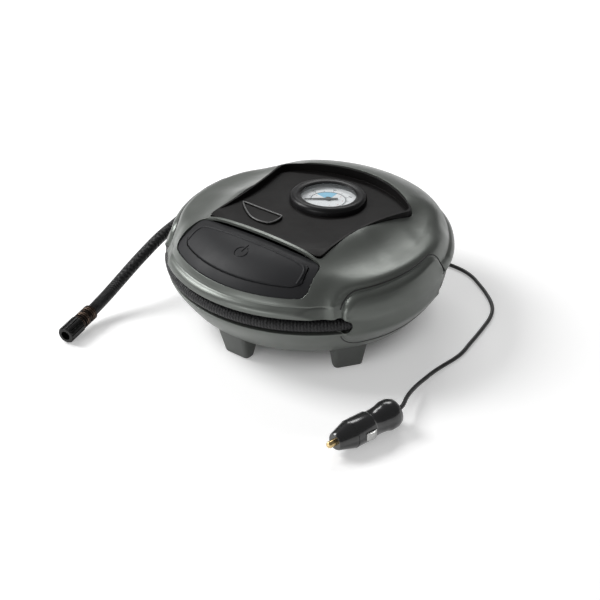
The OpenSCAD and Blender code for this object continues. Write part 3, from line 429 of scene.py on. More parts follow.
slots = {
    "grey_shell": shell_paint, "dark_shell": base_paint, "foot_rubber": foot_rubber,
    "panel_black": panel_black, "bezel_black": bezel_black, "lens": lens, "dial_face": dial_white,
    "needle_black": needle_black, "brass": brass, "brass_dark": ferrule_bronze,
    "nut_black": nut_black, "inner_plastic": inner_black, "button_rubber": pad_rubber,
    "steel": steel, "alloy": alloy, "hose_rubber": lead_rubber, "lead_jacket": lead_rubber,
    "plug_black": plug_gloss,
}
slot_of = {part["node"]: part["material_slot"] for part in frame["record"]["subparts"]}
for name, node in nodes.items():
    finish = slots.get(slot_of.get(name), inner_black)
    if name == "hose_root":
        finish = inner_black
    for index in range(len(node.material_slots)):
        node.material_slots[index].material = finish
    if not node.material_slots:
        node.data.materials.append(finish)


# ---------------------------------------------------------------- soft edges on the moulded solids
def rounded_shading(limit=34):
    """Welds a solid's triangles and shades across its shallow edges; the sharp ones stay crisp."""
    group = bpy.data.node_groups.new("rounded_shading", "GeometryNodeTree")
    group.interface.new_socket("Geometry", in_out="INPUT", socket_type="NodeSocketGeometry")
    group.interface.new_socket("Geometry", in_out="OUTPUT", socket_type="NodeSocketGeometry")
    add, link = group.nodes.new, group.links.new
    start, end = add("NodeGroupInput"), add("NodeGroupOutput")
    weld = add("GeometryNodeMergeByDistance")
    weld.inputs["Distance"].default_value = 0.00001
    faces, edges = add("GeometryNodeSetShadeSmooth"), add("GeometryNodeSetShadeSmooth")
    edges.domain = "EDGE"
    edges.inputs["Shade Smooth"].default_value = False
    angle, sharp = add("GeometryNodeInputMeshEdgeAngle"), add("FunctionNodeCompare")
    sharp.operation = "GREATER_THAN"
    sharp.inputs[1].default_value = math.radians(limit)
    link(start.outputs[0], weld.inputs["Geometry"])
    link(weld.outputs[0], faces.inputs["Geometry"])
    link(faces.outputs[0], edges.inputs["Geometry"])
    link(angle.outputs["Unsigned Angle"], sharp.inputs[0])
    link(sharp.outputs[0], edges.inputs["Selection"])
    link(edges.outputs[0], end.inputs[0])
    return group


shading = rounded_shading()
for node in nodes.values():
    node.modifiers.new("rounded_shading", "NODES").node_group = shading


# ---------------------------------------------------------------- the body's sizes, as in the solids
BODY_R, LIP_Z, SHOULDER_R, BLEND_R, DOME_R, JOIN = 112, 57, 28, 66, 578, math.radians(54)
PANEL_HALF, PANEL_FRONT, PANEL_REAR, BUTTON_HALF, BUTTON_FRONT_R = 55.5, 58.4, 70.1, 57, 107.4
SHOULDER_AT = (BODY_R - SHOULDER_R, LIP_Z)
BLEND_AT = (SHOULDER_AT[0] - (BLEND_R - SHOULDER_R) * math.cos(JOIN),
            SHOULDER_AT[1] - (BLEND_R - SHOULDER_R) * math.sin(JOIN))
DOME_Z = BLEND_AT[1] - math.sqrt((DOME_R - BLEND_R) ** 2 - BLEND_AT[0] ** 2)


def side_x(y):
    """The panel's side edge."""
    return PANEL_HALF + 7.4 * y / 50 + 5.4 * (y / 50) ** 2 + 0.24 * (y / 50) ** 3


def front_y(x):
    """The panel's front edge."""
    return -PANEL_FRONT - 0.9 * (x / 50) ** 2


def rear_y(x):
    """The panel's rear edge."""
    return PANEL_REAR - 16 * (x / 50) ** 2


def turned_corner(a, b, c, n=6):
    """A round corner from a to c, drawn towards b."""
    return [tuple(p) for p in (Vector(a).lerp(b, i / n).lerp(Vector(b).lerp(c, i / n), i / n)
                               for i in range(n + 1))]


def mirrored(half):
    """A whole outline from its right half, which starts and ends on the middle line."""
    return half + [(-x, y) for x, y in reversed(half) if x > 0.01]


def panel_outline():
    """The panel's opening in plan."""
    front = (side_x(-59.4), front_y(54))
    rear = (side_x(42.4), 42.4)
    half = [(x, front_y(x)) for x in range(0, 49, 6)]
    half += turned_corner((front[0] - 5, front_y(front[0] - 5)), front, (side_x(front[1] + 5), front[1] + 5))
    half += [(side_x(y), y) for y in range(-48, 37, 6)]
    half += turned_corner((side_x(rear[1] - 5), rear[1] - 5), rear, (rear[0] - 5, rear_y(rear[0] - 5)))
    half += [(x, rear_y(x)) for x in range(54, -1, -6)]
    return mirrored(half)


def arc(cx, cy, r, start, end, n=6):
    """Points on an arc between two angles in degrees."""
    return [(cx + r * math.cos(math.radians(start + (end - start) * i / n)),
             cy + r * math.sin(math.radians(start + (end - start) * i / n))) for i in range(n + 1)]


def button_outline():
    """The button's opening in plan."""
    h = BUTTON_HALF
    half = arc(0, 0, BUTTON_FRONT_R, -90, -60, 10)
    half += turned_corner((h - 1, -91.4), (h + 4.2, -89), (h + 5, -84))
    half += [(h + 4.6, -80)]
    half += turned_corner((h + 1.4, -66), (h + 0.6, -61.8), (h - 4, -61.4))
    return mirrored(half)


def depth_in(point, outline):
    """How far a point in plan lies inside an outline; it is negative outside."""
    x, y = point
    odd, near = False, 1e9
    for (ax, ay), (bx, by) in zip(outline, outline[1:] + outline[:1]):
        if (ay > y) != (by > y) and x < ax + (y - ay) / (by - ay) * (bx - ax):
            odd = not odd
        along = max(0.0, min(1.0, ((x - ax) * (bx - ax) + (y - ay) * (by - ay))
                             / max(1e-9, (bx - ax) ** 2 + (by - ay) ** 2)))
        near = min(near, math.hypot(ax + along * (bx - ax) - x, ay + along * (by - ay) - y))
    return near if odd else -near


def grown(outline, by):
    """An outline in plan, drawn outward from its middle."""
    mid = sum((Vector(p) for p in outline), Vector((0, 0))) / len(outline)
    return [tuple(Vector(p) + (Vector(p) - mid).normalized() * by) for p in outline]


def cutter(name, outline, low, high):
    """An upright block with an outline in plan, which cuts an opening."""
    bm = bmesh.new()
    face = bm.faces.new([bm.verts.new((x * MM, y * MM, low * MM)) for x, y in outline])
    made = bmesh.ops.extrude_face_region(bm, geom=[face])
    bmesh.ops.translate(bm, vec=(0, 0, (high - low) * MM),
                        verts=[g for g in made["geom"] if isinstance(g, bmesh.types.BMVert)])
    bmesh.ops.recalc_face_normals(bm, faces=bm.faces)
    return draft_object(name, bm)


DOME_START_R = 16
RIM_HEIGHTS = (66.1, 65.6, 65.25, 64.9, 64.55, 64.2, 63.6, 62.7, 61.5, 60.3, 59.1, 58.2, 57.5, 57.06)


def shell_section():
    """The upper half's section from the dome down the shoulder: radius, height and outward angle."""
    joint = math.atan2(BLEND_AT[1] - DOME_Z, BLEND_AT[0])
    start = math.acos(DOME_START_R / DOME_R)
    dome = [start + (joint - start) * i / 24 for i in range(24)]
    blend = [joint + (JOIN - joint) * i / 16 for i in range(16)]
    shoulder = [JOIN + (math.radians(20) - JOIN) * i / 10 for i in range(11)]
    rows = []
    for (x, z), r, angles in (((0, DOME_Z), DOME_R, dome), (BLEND_AT, BLEND_R, blend),
                              (SHOULDER_AT, SHOULDER_R, shoulder)):
        rows += [(x + r * math.cos(a), z + r * math.sin(a), a) for a in angles]
    return rows + [(BODY_R, z, 0) for z in RIM_HEIGHTS]


COVER_MID, COVER_HALF, RIM_OUT, SLIM = math.radians(-15.5), 48.2, 2.3, 4.4
SHELL_WALL, COVER_WALL = 2.2, 1.6


def slim_share(x, y, z):
    """How much of SLIM the body is drawn in at a place; the left side starts farther forward."""
    a = math.degrees(math.atan2(y, abs(x)))
    start = ease((a + 26) / 38)
    if x < 0:
        start = max(start, 0.6 * ease((a + 62) / 30) * ease((z - 55) / 7))
    return start * (1 - ease((a - 34) / 40)) * (1 - ease((z - 62) / 24))


def slim(vertex):
    """Draws the body's sides in towards the rear, where the plan is flatter than a circle."""
    flat = vertex.co.xy.to_3d()
    if flat.length > 0.09:
        x, y, z = (c / MM for c in vertex.co)
        vertex.co -= flat.normalized() * (SLIM * MM * slim_share(x, y, z))


def cover_outline(grow):
    """A side cover's outline on its own upright plane: across, and height."""
    return (arc(17 - COVER_HALF, 46, 17 + grow, 180, 270) + arc(COVER_HALF - 18, 55, 24 + grow, 270, 360)
            + arc(COVER_HALF - 8, 62.4, 14 + grow, 0, 90) + arc(15 - COVER_HALF, 59, 15 + grow, 90, 180))


def on_cover(point):
    """A place on the body as across and height on the plane of the cover of its side."""
    x, y, z = (c / MM for c in point)
    return (-abs(x) * math.sin(COVER_MID) + y * math.cos(COVER_MID), z)


LIP = [(111.2, 56.98), (105.2, 56.98), (105.2, 54), (105.2, 50.66), (97, 50.66)]
LIP_FACE_R, CREASE_Z, CREASE_DEPTH, CREASE_HALF = 104, 64.9, 0.6, 0.42
RAY_FROM, RAY_ABOVE = 0.13, 0.12


def shell_grid(rows):
    """The upper half's section, and the lip below it, turned round the middle."""
    bm = bmesh.new()
    line = [bm.verts.new((r * MM, 0, z * MM)) for r, z in [row[:2] for row in rows] + LIP]
    edges = [bm.edges.new(pair) for pair in zip(line[:-1], line[1:])]
    bmesh.ops.spin(bm, geom=line + edges, cent=(0, 0, 0), axis=(0, 0, 1), angle=math.tau, steps=240,
                   use_merge=True)
    return bm


def settle_on_solid(bm, rows, openings):
    """Moves the grid onto the solid. Returns the skin over the lip, and what lies over no solid."""
    tree = surface_of(nodes["upper_shell"])
    skin, loose = [], []
    for v in bm.verts:
        out = v.co.xy.to_3d().normalized()
        if v.co.z < (LIP[0][1] + 0.01) * MM:
            if v.co.xy.length > LIP_FACE_R * MM and v.co.z < (LIP[0][1] - 0.48) * MM:
                hit = tree.ray_cast(out * 0.1108 + Vector((0, 0, v.co.z)), -out, 0.03)
                if hit[0]:
                    v.co.xy = hit[0].xy
            continue
        skin.append(v)
        if max(depth_in(v.co.xy / MM, opening) for opening in openings) > -0.6:
            loose.append(v)
            continue
        a = min(rows, key=lambda row: abs(row[0] * MM - v.co.xy.length) + abs(row[1] * MM - v.co.z))[2]
        way = out * math.cos(a) + Vector((0, 0, math.sin(a)))
        hit = tree.ray_cast(v.co + way * 0.008, -way, 0.045)
        if hit[0]:
            v.co = hit[0]
        else:
            loose.append(v)
    return skin, loose


def raise_cover_rim(skin):
    """A soft rim round each side cover's place, and a crease along the lip between them."""
    rim = cover_outline(4.4)
    for v in skin:
        gap = depth_in(on_cover(v.co), rim)
        if abs(gap) < 12:
            spread = 2.0 if gap > 0 else 3.6
            rise = RIM_OUT * (0.4 if v.co.x < 0 else 1) * (1 - ease((on_cover(v.co)[0] - 36) / 14))
            v.co += v.co.xy.to_3d().normalized() * (rise * MM * math.exp(-(gap / spread) ** 2))
        if v.co.z < 0.0665 and gap < -4:
            sink = CREASE_DEPTH * MM * math.exp(-((v.co.z / MM - CREASE_Z) / CREASE_HALF) ** 2)
            v.co -= v.co.xy.to_3d().normalized() * sink


def upper_shell_skin():
    """The upper half on a regular grid: it follows the solid, with its hollows eased into the dome."""
    panel, button = panel_outline(), button_outline()
    rows = shell_section()
    bm = shell_grid(rows)
    skin, loose = settle_on_solid(bm, rows, (panel, button))
    relax(bm, loose, 60)
    cover = cover_outline(0)
    relax(bm, [v for v in skin if not v.is_boundary and (
        v.co.z > 0.067 or v.co.z > 0.0585 and abs(depth_in(on_cover(v.co), cover)) < 15)], 16)
    raise_cover_rim(skin)
    for v in bm.verts:
        slim(v)
    bmesh.ops.recalc_face_normals(bm, faces=bm.faces)
    top = max(bm.faces, key=lambda f: f.calc_center_median().z)
    if top.normal.z < 0:
        bmesh.ops.reverse_faces(bm, faces=bm.faces)
    draft = draft_object("upper_shell_draft", bm)
    give_wall(draft, SHELL_WALL)
    mesh = as_mesh(draft, cutter("panel_cut", grown(panel, 0.25), 60, 110),
                   cutter("button_cut", grown(button, 0.55), 66, 110))
    piece = place("upper_shell_skin", mesh, shell_paint, "housing")
    mesh.set_sharp_from_angle(angle=math.radians(40))
    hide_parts("upper_shell")
    return piece


shell = upper_shell_skin()


# ---------------------------------------------------------------- side covers
# the body under a cover, as radius and height, and how far the cover swells out at each height
UNDER = [(93, 18), (98, 22), (103, 27.5), (109, 36), (113, 43), (113, 44)]
BULGE = [(28, 0.3), (36, 1.1), (44, 2.3), (50, 3.0), (57, 3.9), (66, 3.6), (78, 3.2)]


# the cover grid's middle and size: across, and height
COVER_WIDE, COVER_TALL = (3, 106), (53, 53)
HOSE_HOLE_R, HOSE_HOLE_AT, HOSE_Z = 6.3, 112.6, 50.6


def along_rows(z, rows, key=1, value=0):
    """A value read off a short table by height."""
    for low, high in zip(rows[:-1], rows[1:]):
        if z <= high[key]:
            share = max(0.0, (z - low[key]) / (high[key] - low[key]))
            return low[value] + share * (high[value] - low[value])
    return rows[-1][value]


def body_radius(out, side, z, tree):
    """How far the body reaches under a cover, at a height and in a direction."""
    if z < 44:
        return along_rows(z, UNDER)
    if z < 57.5:
        return BODY_R + 0.4
    facing = Vector((out.x * side, out.y, 0))
    hit = tree.ray_cast(facing * RAY_FROM + Vector((0, 0, z * MM)), -facing, 0.06)
    return BODY_R if hit[0] is None else hit[0].xy.length / MM


def cover_grid(side, outline):
    """A grid on the body's side that swells out inside the cover's outline and dives in outside it."""
    tree = surface_of(shell)
    bm = bmesh.new()
    bmesh.ops.create_grid(bm, x_segments=110, y_segments=60, size=0.5)
    for v in bm.verts:
        across, z = (mid + share * size for share, (mid, size) in zip(v.co.xy, (COVER_WIDE, COVER_TALL)))
        a = COVER_MID + math.asin(max(-1.0, min(1.0, across / BODY_R)))
        out = Vector((math.cos(a), math.sin(a), 0))
        gap = depth_in((across, z), outline)
        swell = (1 - 0.35 * ease((math.degrees(a) + 12) / 22)) * (1 if side > 0 else 0.75)
        edge = math.sqrt(1 - (1 - max(0.0, min(1.0, (gap - 0.3) / 3.4))) ** 2)
        rise = -2.4 + edge * (2.4 + swell * along_rows(z, BULGE, 0, 1)) + min(0.0, gap) * 0.5
        v.co = (body_radius(out, side, z, tree) + rise) * MM * out + Vector((0, 0, z * MM))
        if side < 0:
            v.co.x = -v.co.x
        if z < 57.5:
            slim(v)
    return bm


def hose_drill(side):
    """A ball that cuts the hose's round hole in a cover's front end."""
    front = COVER_MID - math.asin((COVER_HALF - 2.5) / BODY_R)
    drill = bmesh.new()
    bmesh.ops.create_uvsphere(drill, u_segments=40, v_segments=24, radius=HOSE_HOLE_R * MM)
    bmesh.ops.translate(drill, verts=drill.verts, vec=(
        HOSE_HOLE_AT * math.cos(front) * MM, HOSE_HOLE_AT * math.sin(front) * MM, HOSE_Z * MM))
    if side < 0:
        bmesh.ops.scale(drill, vec=(-1, 1, 1), verts=drill.verts)
        bmesh.ops.reverse_faces(drill, faces=drill.faces)
    return draft_object("hose_hole", drill)


def side_cover(name, node, side):
    """A pillow-shaped cover that rises out of the body, with a round hole for the hose in front."""
    outline = cover_outline(0)
    bm = cover_grid(side, outline)
    lost = [v for v in bm.verts if depth_in(on_cover(v.co), outline) < -1.2]
    bmesh.ops.delete(bm, geom=lost, context="VERTS")
    body = [v for v in bm.verts if not v.is_boundary]
    relax(bm, [v for v in body if depth_in(on_cover(v.co), outline) > 4.5], 24)
    relax(bm, body, 2)
    bmesh.ops.recalc_face_normals(bm, faces=bm.faces)
    if sum(f.normal.x * side for f in bm.faces) < 0:
        bmesh.ops.reverse_faces(bm, faces=bm.faces)
    draft = draft_object("cover_draft", bm)
    give_wall(draft, COVER_WALL)
    mesh = as_mesh(draft, hose_drill(side))
    piece = place(name, mesh, cover_paint, "housing")
    mesh.set_sharp_from_angle(angle=math.radians(45))
    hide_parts(node)


side_cover("side_cover_right_skin", "side_cover_right", 1)
side_cover("side_cover_left_skin", "side_cover_left", -1)


# ---------------------------------------------------------------- lower shell and feet
# the bowl's section as radius and height: the outside up to the groove, then the inside back down
BOWL = [(0, 14), (40, 14), (70, 14), (86, 14), (91, 15.6), (95.5, 18.6), (99.6, 22.6), (103.4, 27.6),
        (106.6, 31.8), (109.4, 36), (111.6, 39.8), (112.9, 42.6), (113, 43.6), (112.4, 44),
        (109, 44), (105.3, 44), (105.2, 46), (105.2, 50.2), (102, 50.2), (102, 43), (107, 42),
        (105, 36), (99, 28), (90, 19), (84, 16.4), (40, 16.4), (0, 16.4)]
# where a cover closes the groove, the section's points from WALL_FROM on stand as this wall instead
WALL_FROM = 9
WALL = [(108.8, 36), (109.8, 39.8), (110.3, 42.6), (110.6, 44.4), (110.8, 46.5), (110.95, 49), (111, 51.5),
        (111.1, 54), (111.1, 56.8), (107, 56.8)]
CLOSED, SHALLOW, DEEPER = (9, 96), ((118, 190), (216.5, 323)), 9.6
SCREW_R, SCREW_HOLE_R = 84, 3.8


def shape_groove(v):
    """Moves a vertex of the bowl to the closed wall, or deeper in where the hose runs behind a cover."""
    r, a = v.co.xy.length / MM, math.degrees(math.atan2(v.co.y, v.co.x)) % 360
    row = min(range(len(BOWL)), key=lambda k: abs(BOWL[k][0] - r) + abs(BOWL[k][1] - v.co.z / MM))
    closed = ease((a - CLOSED[0]) / 2) * (1 - ease((a - CLOSED[1] + 2) / 2))
    if closed > 0 and 0 <= row - WALL_FROM < len(WALL):
        wall_r, wall_z = WALL[row - WALL_FROM]
        v.co.xy *= (r + closed * (wall_r - r)) / r
        v.co.z += closed * (wall_z * MM - v.co.z)
    elif v.co.z > 0.0435 and 101 < r < 106 and not any(low < a < high for low, high in SHALLOW):
        v.co.xy *= (r - DEEPER) / r


def screw_drill():
    """Four round holes from below."""
    holes = bmesh.new()
    for turn in range(4):
        a = math.radians(45 + 90 * turn)
        made = bmesh.ops.create_cone(holes, cap_ends=True, segments=28, radius1=SCREW_HOLE_R * MM,
                                     radius2=SCREW_HOLE_R * MM, depth=12 * MM)
        bmesh.ops.translate(holes, vec=(SCREW_R * math.cos(a) * MM, SCREW_R * math.sin(a) * MM, 12 * MM),
                            verts=made["verts"])
    return draft_object("screw_holes", holes)


def lower_shell_skin():
    """The lower shell: the round bowl, the groove's lower side, and the screws' holes below."""
    bm = bmesh.new()
    verts = [bm.verts.new((r * MM, 0, z * MM)) for r, z in BOWL]
    edges = [bm.edges.new(pair) for pair in zip(verts[:-1], verts[1:])]
    bmesh.ops.spin(bm, geom=verts + edges, cent=(0, 0, 0), axis=(0, 0, 1), angle=math.tau, steps=240,
                   use_merge=True)
    bmesh.ops.remove_doubles(bm, verts=bm.verts, dist=0.00001)
    for v in bm.verts:
        shape_groove(v)
        slim(v)
    bmesh.ops.recalc_face_normals(bm, faces=bm.faces)
    mesh = as_mesh(draft_object("lower_shell_draft", bm), screw_drill())
    piece = place("lower_shell_skin", mesh, base_paint, "housing")
    mesh.set_sharp_from_angle(angle=math.radians(40))
    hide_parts("lower_shell")
    return piece


FOOT_TURNS = [-90.5, -34, 58, 86, 146, 206]
# each end of a foot: its inner and outer radius, half its width, and its height
FOOT_LOW, FOOT_HIGH = ((83, 92.2), 11.2, 0), ((74, 99.4), 13.4, 26)


def feet():
    """Six tapered feet with rounded edges, which run up into the bowl."""
    bm = bmesh.new()
    for degrees in FOOT_TURNS:
        ends = []
        for (inner, outer), half, z in (FOOT_LOW, FOOT_HIGH):
            ends.append([bm.verts.new((x * MM, y * MM, z * MM)) for x, y in
                         ((inner, -half), (outer, -half), (outer, half), (inner, half))])
        low, high = ends
        bm.faces.new(low[::-1])
        bm.faces.new(high)
        for k in range(4):
            bm.faces.new((low[k], low[(k + 1) % 4], high[(k + 1) % 4], high[k]))
        turn = Matrix.Rotation(math.radians(degrees), 3, "Z")
        bmesh.ops.rotate(bm, cent=(0, 0, 0), matrix=turn, verts=low + high)
    uprights = [e for e in bm.edges if abs(e.verts[0].co.z - e.verts[1].co.z) > 0.01]
    bmesh.ops.bevel(bm, geom=uprights, offset=0.0032, segments=5, profile=0.5, affect="EDGES",
                    clamp_overlap=True)
    floor_edges = [e for e in bm.edges if max(v.co.z for v in e.verts) < 0.001]
    bmesh.ops.bevel(bm, geom=floor_edges, offset=0.0011, segments=3, profile=0.5, affect="EDGES",
                    clamp_overlap=True)
    bmesh.ops.recalc_face_normals(bm, faces=bm.faces)
    piece = from_bmesh("feet_skin", bm, foot_rubber, "housing")
    piece.data.set_sharp_from_angle(angle=math.radians(50))
    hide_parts("foot_pads")


bowl = lower_shell_skin()
feet()


# ---------------------------------------------------------------- ridges and seams
def raised_line(name, points, node, sink, radius, material, body):
    """A soft rounded ridge along a line in plan, half sunk into the top of a solid."""
    tree = surface_of(nodes[node])
    hits = [tree.ray_cast(Vector((x * MM, y * MM, RAY_ABOVE)), Vector((0, 0, -1)))[0] for x, y in points]
    path = [hit - Vector((0, 0, sink * MM)) for hit in hits if hit]
    tube(name, path, radius * MM, material, 4, body)


SEAM_R, SEAM_SUNK, SEAM_STEP = 0.6, 0.2, 4


def close_points(points, step):
    """More points along a line, so that none is much farther than a step from the next."""
    dense = []
    for a, b in zip(points[:-1], points[1:]):
        count = max(1, round((Vector(b) - Vector(a)).length / step))
        dense += [Vector(a).lerp(Vector(b), i / count) for i in range(count)]
    return dense


def cover_seam(name, side):
    """The dark seam round a side cover, on the surface of the two shells."""
    upper, lower = surface_of(shell), surface_of(bowl)
    path = []
    for across, z in close_points(cover_outline(0.4), SEAM_STEP):
        a = COVER_MID + math.asin(across / BODY_R)
        out = Vector((side * math.cos(a), math.sin(a), 0))
        tree = upper if z > 57 else lower
        hit = tree.ray_cast(out * RAY_FROM + Vector((0, 0, z * MM)), -out, 0.03)[0]
        if hit and not 43 < z < 58:
            path.append(hit - out * SEAM_SUNK * MM)
        elif path:
            r = BODY_R + 0.6 - SLIM * slim_share(out.x, out.y, z)
            path.append(out * r * MM + Vector((0, 0, z * MM)))
    tube(name, path, SEAM_R * MM, seam_black)


cover_seam("cover_seam_right", 1)
cover_seam("cover_seam_left", -1)


PAD_EDGE = mirrored([(52.6, -84), (52.2, -78), (51, -73.5), (48.5, -70.9), (44, -70.1), (30, -69.9),
                     (15, -69.8), (0, -69.8)])
raised_line("button_ridge", PAD_EDGE, "power_button", 0.45, 1.15, pad_rubber, "button")
TAB_RIM = [(-44.4, -29.2), (-40.6, -33), (-34.3, -37.9), (-28.8, -41.7), (-23.7, -44.4), (-18.5, -45.9),
           (-13, -46.1), (-9.3, -45.4), (-6.4, -44), (-5.1, -41.2), (-4.6, -37), (-5.2, -31.5),
           (-6.4, -29), (-8.5, -28.9), (-15, -28.9), (-25, -28.9), (-35, -28.9), (-42, -28.9),
           (-44.4, -29.2)]
# the tab's rim carries the painted highlight colour
raised_line("tab_rim", TAB_RIM, "panel_tab", 0.1, 0.6, tab_rim_highlight, "housing")


# ---------------------------------------------------------------- power lead
LEAD_D = 3.2
LEAD_Z = LEAD_D / 2 + 0.05
COIL_TURNS, COIL_R, COIL_STEP, LAYERS, COIL_AT, COIL_END = 5, 10, 4.05, 4, (-42, 142), 190
GLAND_TURN, GLAND_R, GLAND_Z = math.radians(122), 122, 27
STIFF_END = 3.4
COIL_OUT = COIL_R + COIL_TURNS * COIL_STEP
COIL_TOTAL = LAYERS * COIL_TURNS + (LAYERS - 1) / 2


def coil_point(u):
    """The coil's centre line after u turns: in and out by layers, each on top of the last."""
    layer = min(LAYERS - 1, math.floor(u / (COIL_TURNS + 0.5)))
    t = u - layer * (COIL_TURNS + 0.5)
    shift = min(t, COIL_TURNS) * COIL_STEP
    r = COIL_OUT - shift if layer % 2 == 0 else COIL_R + shift
    z = LEAD_Z + COIL_STEP * (layer + ease((t - COIL_TURNS) * 2))
    a = math.radians(COIL_END + (u - COIL_TOTAL) * 360)
    return Vector((COIL_AT[0] + r * math.cos(a), COIL_AT[1] + r * math.sin(a), z))


COIL_STEPS = round(COIL_TOTAL * 24)
coil = [coil_point(COIL_TOTAL * i / COIL_STEPS) for i in range(COIL_STEPS + 1)]
start_way = unit(coil[1] - coil[0])
end_way = unit(coil[-1] - coil[-2])
gland_way = Vector((math.cos(GLAND_TURN), math.sin(GLAND_TURN), 0))
gland_tip = gland_way * GLAND_R + Vector((0, 0, GLAND_Z))
PLUG_REAR = Vector((146.2, -88, 11.2))
plug_way = unit((-12.5, -63, 0))
LEAD_RUN = [(-12, 134, LEAD_Z), (-5, 124.5, LEAD_Z), (10, 119, LEAD_Z), (40, 119.5, LEAD_Z),
            (60, 120, LEAD_Z), (74.3, 116.6, LEAD_Z), (90, 107.5, LEAD_Z), (102.5, 98.5, LEAD_Z),
            (112, 90, LEAD_Z), (118.5, 81.5, LEAD_Z), (123.5, 70, LEAD_Z), (126.5, 57.5, LEAD_Z),
            (129, 44.5, LEAD_Z), (131.5, 29.5, LEAD_Z), (134, 14.5, LEAD_Z), (134, 5, LEAD_Z),
            (133, -6.5, 1.9), (132.5, -18.5, 2.6), (134, -34, 4.5), (137, -52, 7.5), (141, -67, 9.8)]
GLAND_RUN = [(-71, 113, 24.5), (-72.6, 121, 18.5), (-72, 128.5, 14)]


def power_lead():
    """The lead from its gland through the coil to the plug, as one cord."""
    route = [gland_tip + 0.05 * gland_way, gland_tip + 3.3 * gland_way]
    route += [Vector(p) for p in GLAND_RUN] + [coil[-1] + STIFF_END * end_way]
    route += coil[::-1]
    route += [coil[0] - STIFF_END * start_way] + [Vector(p) for p in LEAD_RUN]
    route += [PLUG_REAR - STIFF_END * plug_way, PLUG_REAR - 0.05 * plug_way]
    points = [tuple(p * MM) for p in route]
    piece, path = tube("power_lead", points, LEAD_D / 2 * MM, lead_rubber, 2)
    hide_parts("lead_inner", "lead_coil", "lead_outer")


power_lead()


# ---------------------------------------------------------------- air hose
GROOVE_FLOOR, TUNNEL_R, GROOVE_Z, HOSE_D = 105.2, 95.2, 50.5, 9.6
RING_R = GROOVE_FLOOR + HOSE_D / 2 + 0.1
TUNNEL_HOSE_R = TUNNEL_R + HOSE_D / 2 + 1.2
WRAP_START, WRAP_END, WRAP_STEPS = 222, 505, 106
WRAP_LENGTH, FREE_LENGTH = 0.53, 0.21


def hose_point(a):
    """The wrapped hose's middle at a turn in degrees: it dives in behind the right side cover."""
    inner = ease((a - 324) / 22) - ease((a - 455) / 22)
    x, y = math.cos(math.radians(a)), math.sin(math.radians(a))
    drawn_in = SLIM * slim_share(x, y, GROOVE_Z) * (1 - inner)
    r = RING_R - (RING_R - TUNNEL_HOSE_R) * inner - drawn_in
    return Vector((r * x, r * y, GROOVE_Z))


def hose_wrap():
    """The hose in the waist groove, round the front and behind the right cover."""
    turns = [WRAP_START + (WRAP_END - WRAP_START) * i / WRAP_STEPS for i in range(WRAP_STEPS + 1)]
    points = [tuple(hose_point(a) * MM) for a in turns]
    cover = braided("hose_braid_wrapped", WRAP_LENGTH)
    piece, _ = tube("air_hose_wrapped", points, HOSE_D / 2 * MM, cover, 7)
    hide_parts("hose_wrap")


hose_wrap()

exit_turn = math.radians(WRAP_END)
exit_way = Vector((-math.sin(exit_turn), math.cos(exit_turn), 0))
hose_exit = hose_point(WRAP_END)
NUT_AT = Vector((-118.8, -128.5, 10.6))
nut_way = unit(NUT_WAY)
FREE_RUN = [(-102.5, 47, 50.4), (-112.8, 32, 50), (-121.2, 17, 49), (-123.6, 2, 47),
            (-123.6, -12, 45), (-122.8, -26, 42.8), (-120.8, -44, 41), (-119, -62, 37),
            (-118.8, -79, 30.6), (-119.6, -95, 22.7), (-120.2, -105, 17.65), (-120.4, -111, 14.96),
            (-120.25, -117, 12.88), (-119.75, -122, 11.61)]


def free_hose():
    """The hose from the groove's end to the nut, as one cord."""
    route = [hose_exit + 0.1 * exit_way, hose_exit + HOSE_D * exit_way]
    route += [Vector(p) for p in FREE_RUN] + [NUT_AT - STIFF_END * nut_way, NUT_AT - 0.1 * nut_way]
    points = [tuple(p * MM) for p in route]
    cover = braided("hose_braid_free", FREE_LENGTH)
    piece, path = tube("air_hose_free", points, HOSE_D / 2 * MM, cover, 7)
    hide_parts("hose_free")


free_hose()


# ---------------------------------------------------------------- gauge face
GAUGE_Y, FLOOR_Z, TILT = 20.4, 86.424, 3.0
to_panel = Matrix.Translation((0, GAUGE_Y * MM, FLOOR_Z * MM)) @ Matrix.Rotation(math.radians(-TILT), 4, "X")
FACE, PRINT_LOW, PRINT_HIGH = 0.6, 0.02, 0.09
ZERO, SWEEP = 222, 275
BAND, BAND_FROM, BAND_TO = (3.4, 13.2), 0.19, 0.46
SCALE_R, LINE_R, SHORT_R, LONG_R = 13.4, 13.9, 14.9, 16.0
SCALE_STEPS, INNER_TOP = 50, 0.985


def scale_angle(share):
    """The needle's turn in degrees at a share of the scale."""
    return ZERO - SWEEP * share


def ring_sector(r0, r1, a0, a1):
    """A printed mark: a flat bar of the ring between two radii, from one angle to the other."""
    bm = bmesh.new()
    made = bmesh.ops.create_grid(bm, x_segments=1, y_segments=1, size=0.5)
    bmesh.ops.scale(bm, vec=((r1 - r0) * MM, (PRINT_HIGH - PRINT_LOW) * MM, 1), verts=made["verts"])
    bmesh.ops.rotate(bm, cent=(0, 0, 0), matrix=Matrix.Rotation(math.pi / 2, 3, "X"), verts=made["verts"])
    bmesh.ops.translate(bm, vec=((r0 + r1) / 2 * MM, 0, (FACE + (PRINT_LOW + PRINT_HIGH) / 2) * MM),
                        verts=made["verts"])
    bmesh.ops.rotate(bm, cent=(0, 0, 0), matrix=Matrix.Rotation(math.radians(a0), 3, "Z"), verts=bm.verts)
    bmesh.ops.spin(bm, geom=bm.verts[:] + bm.edges[:] + bm.faces[:], cent=(0, 0, 0), axis=(0, 0, 1),
                   angle=math.radians(a1 - a0), steps=max(1, round(abs(a1 - a0) / 4)), use_merge=False)
    bmesh.ops.remove_doubles(bm, verts=bm.verts, dist=1e-7)
    bmesh.ops.recalc_face_normals(bm, faces=bm.faces)
    mark = bpy.data.meshes.new("mark")
    bm.to_mesh(mark)
    bm.free()
    return mark


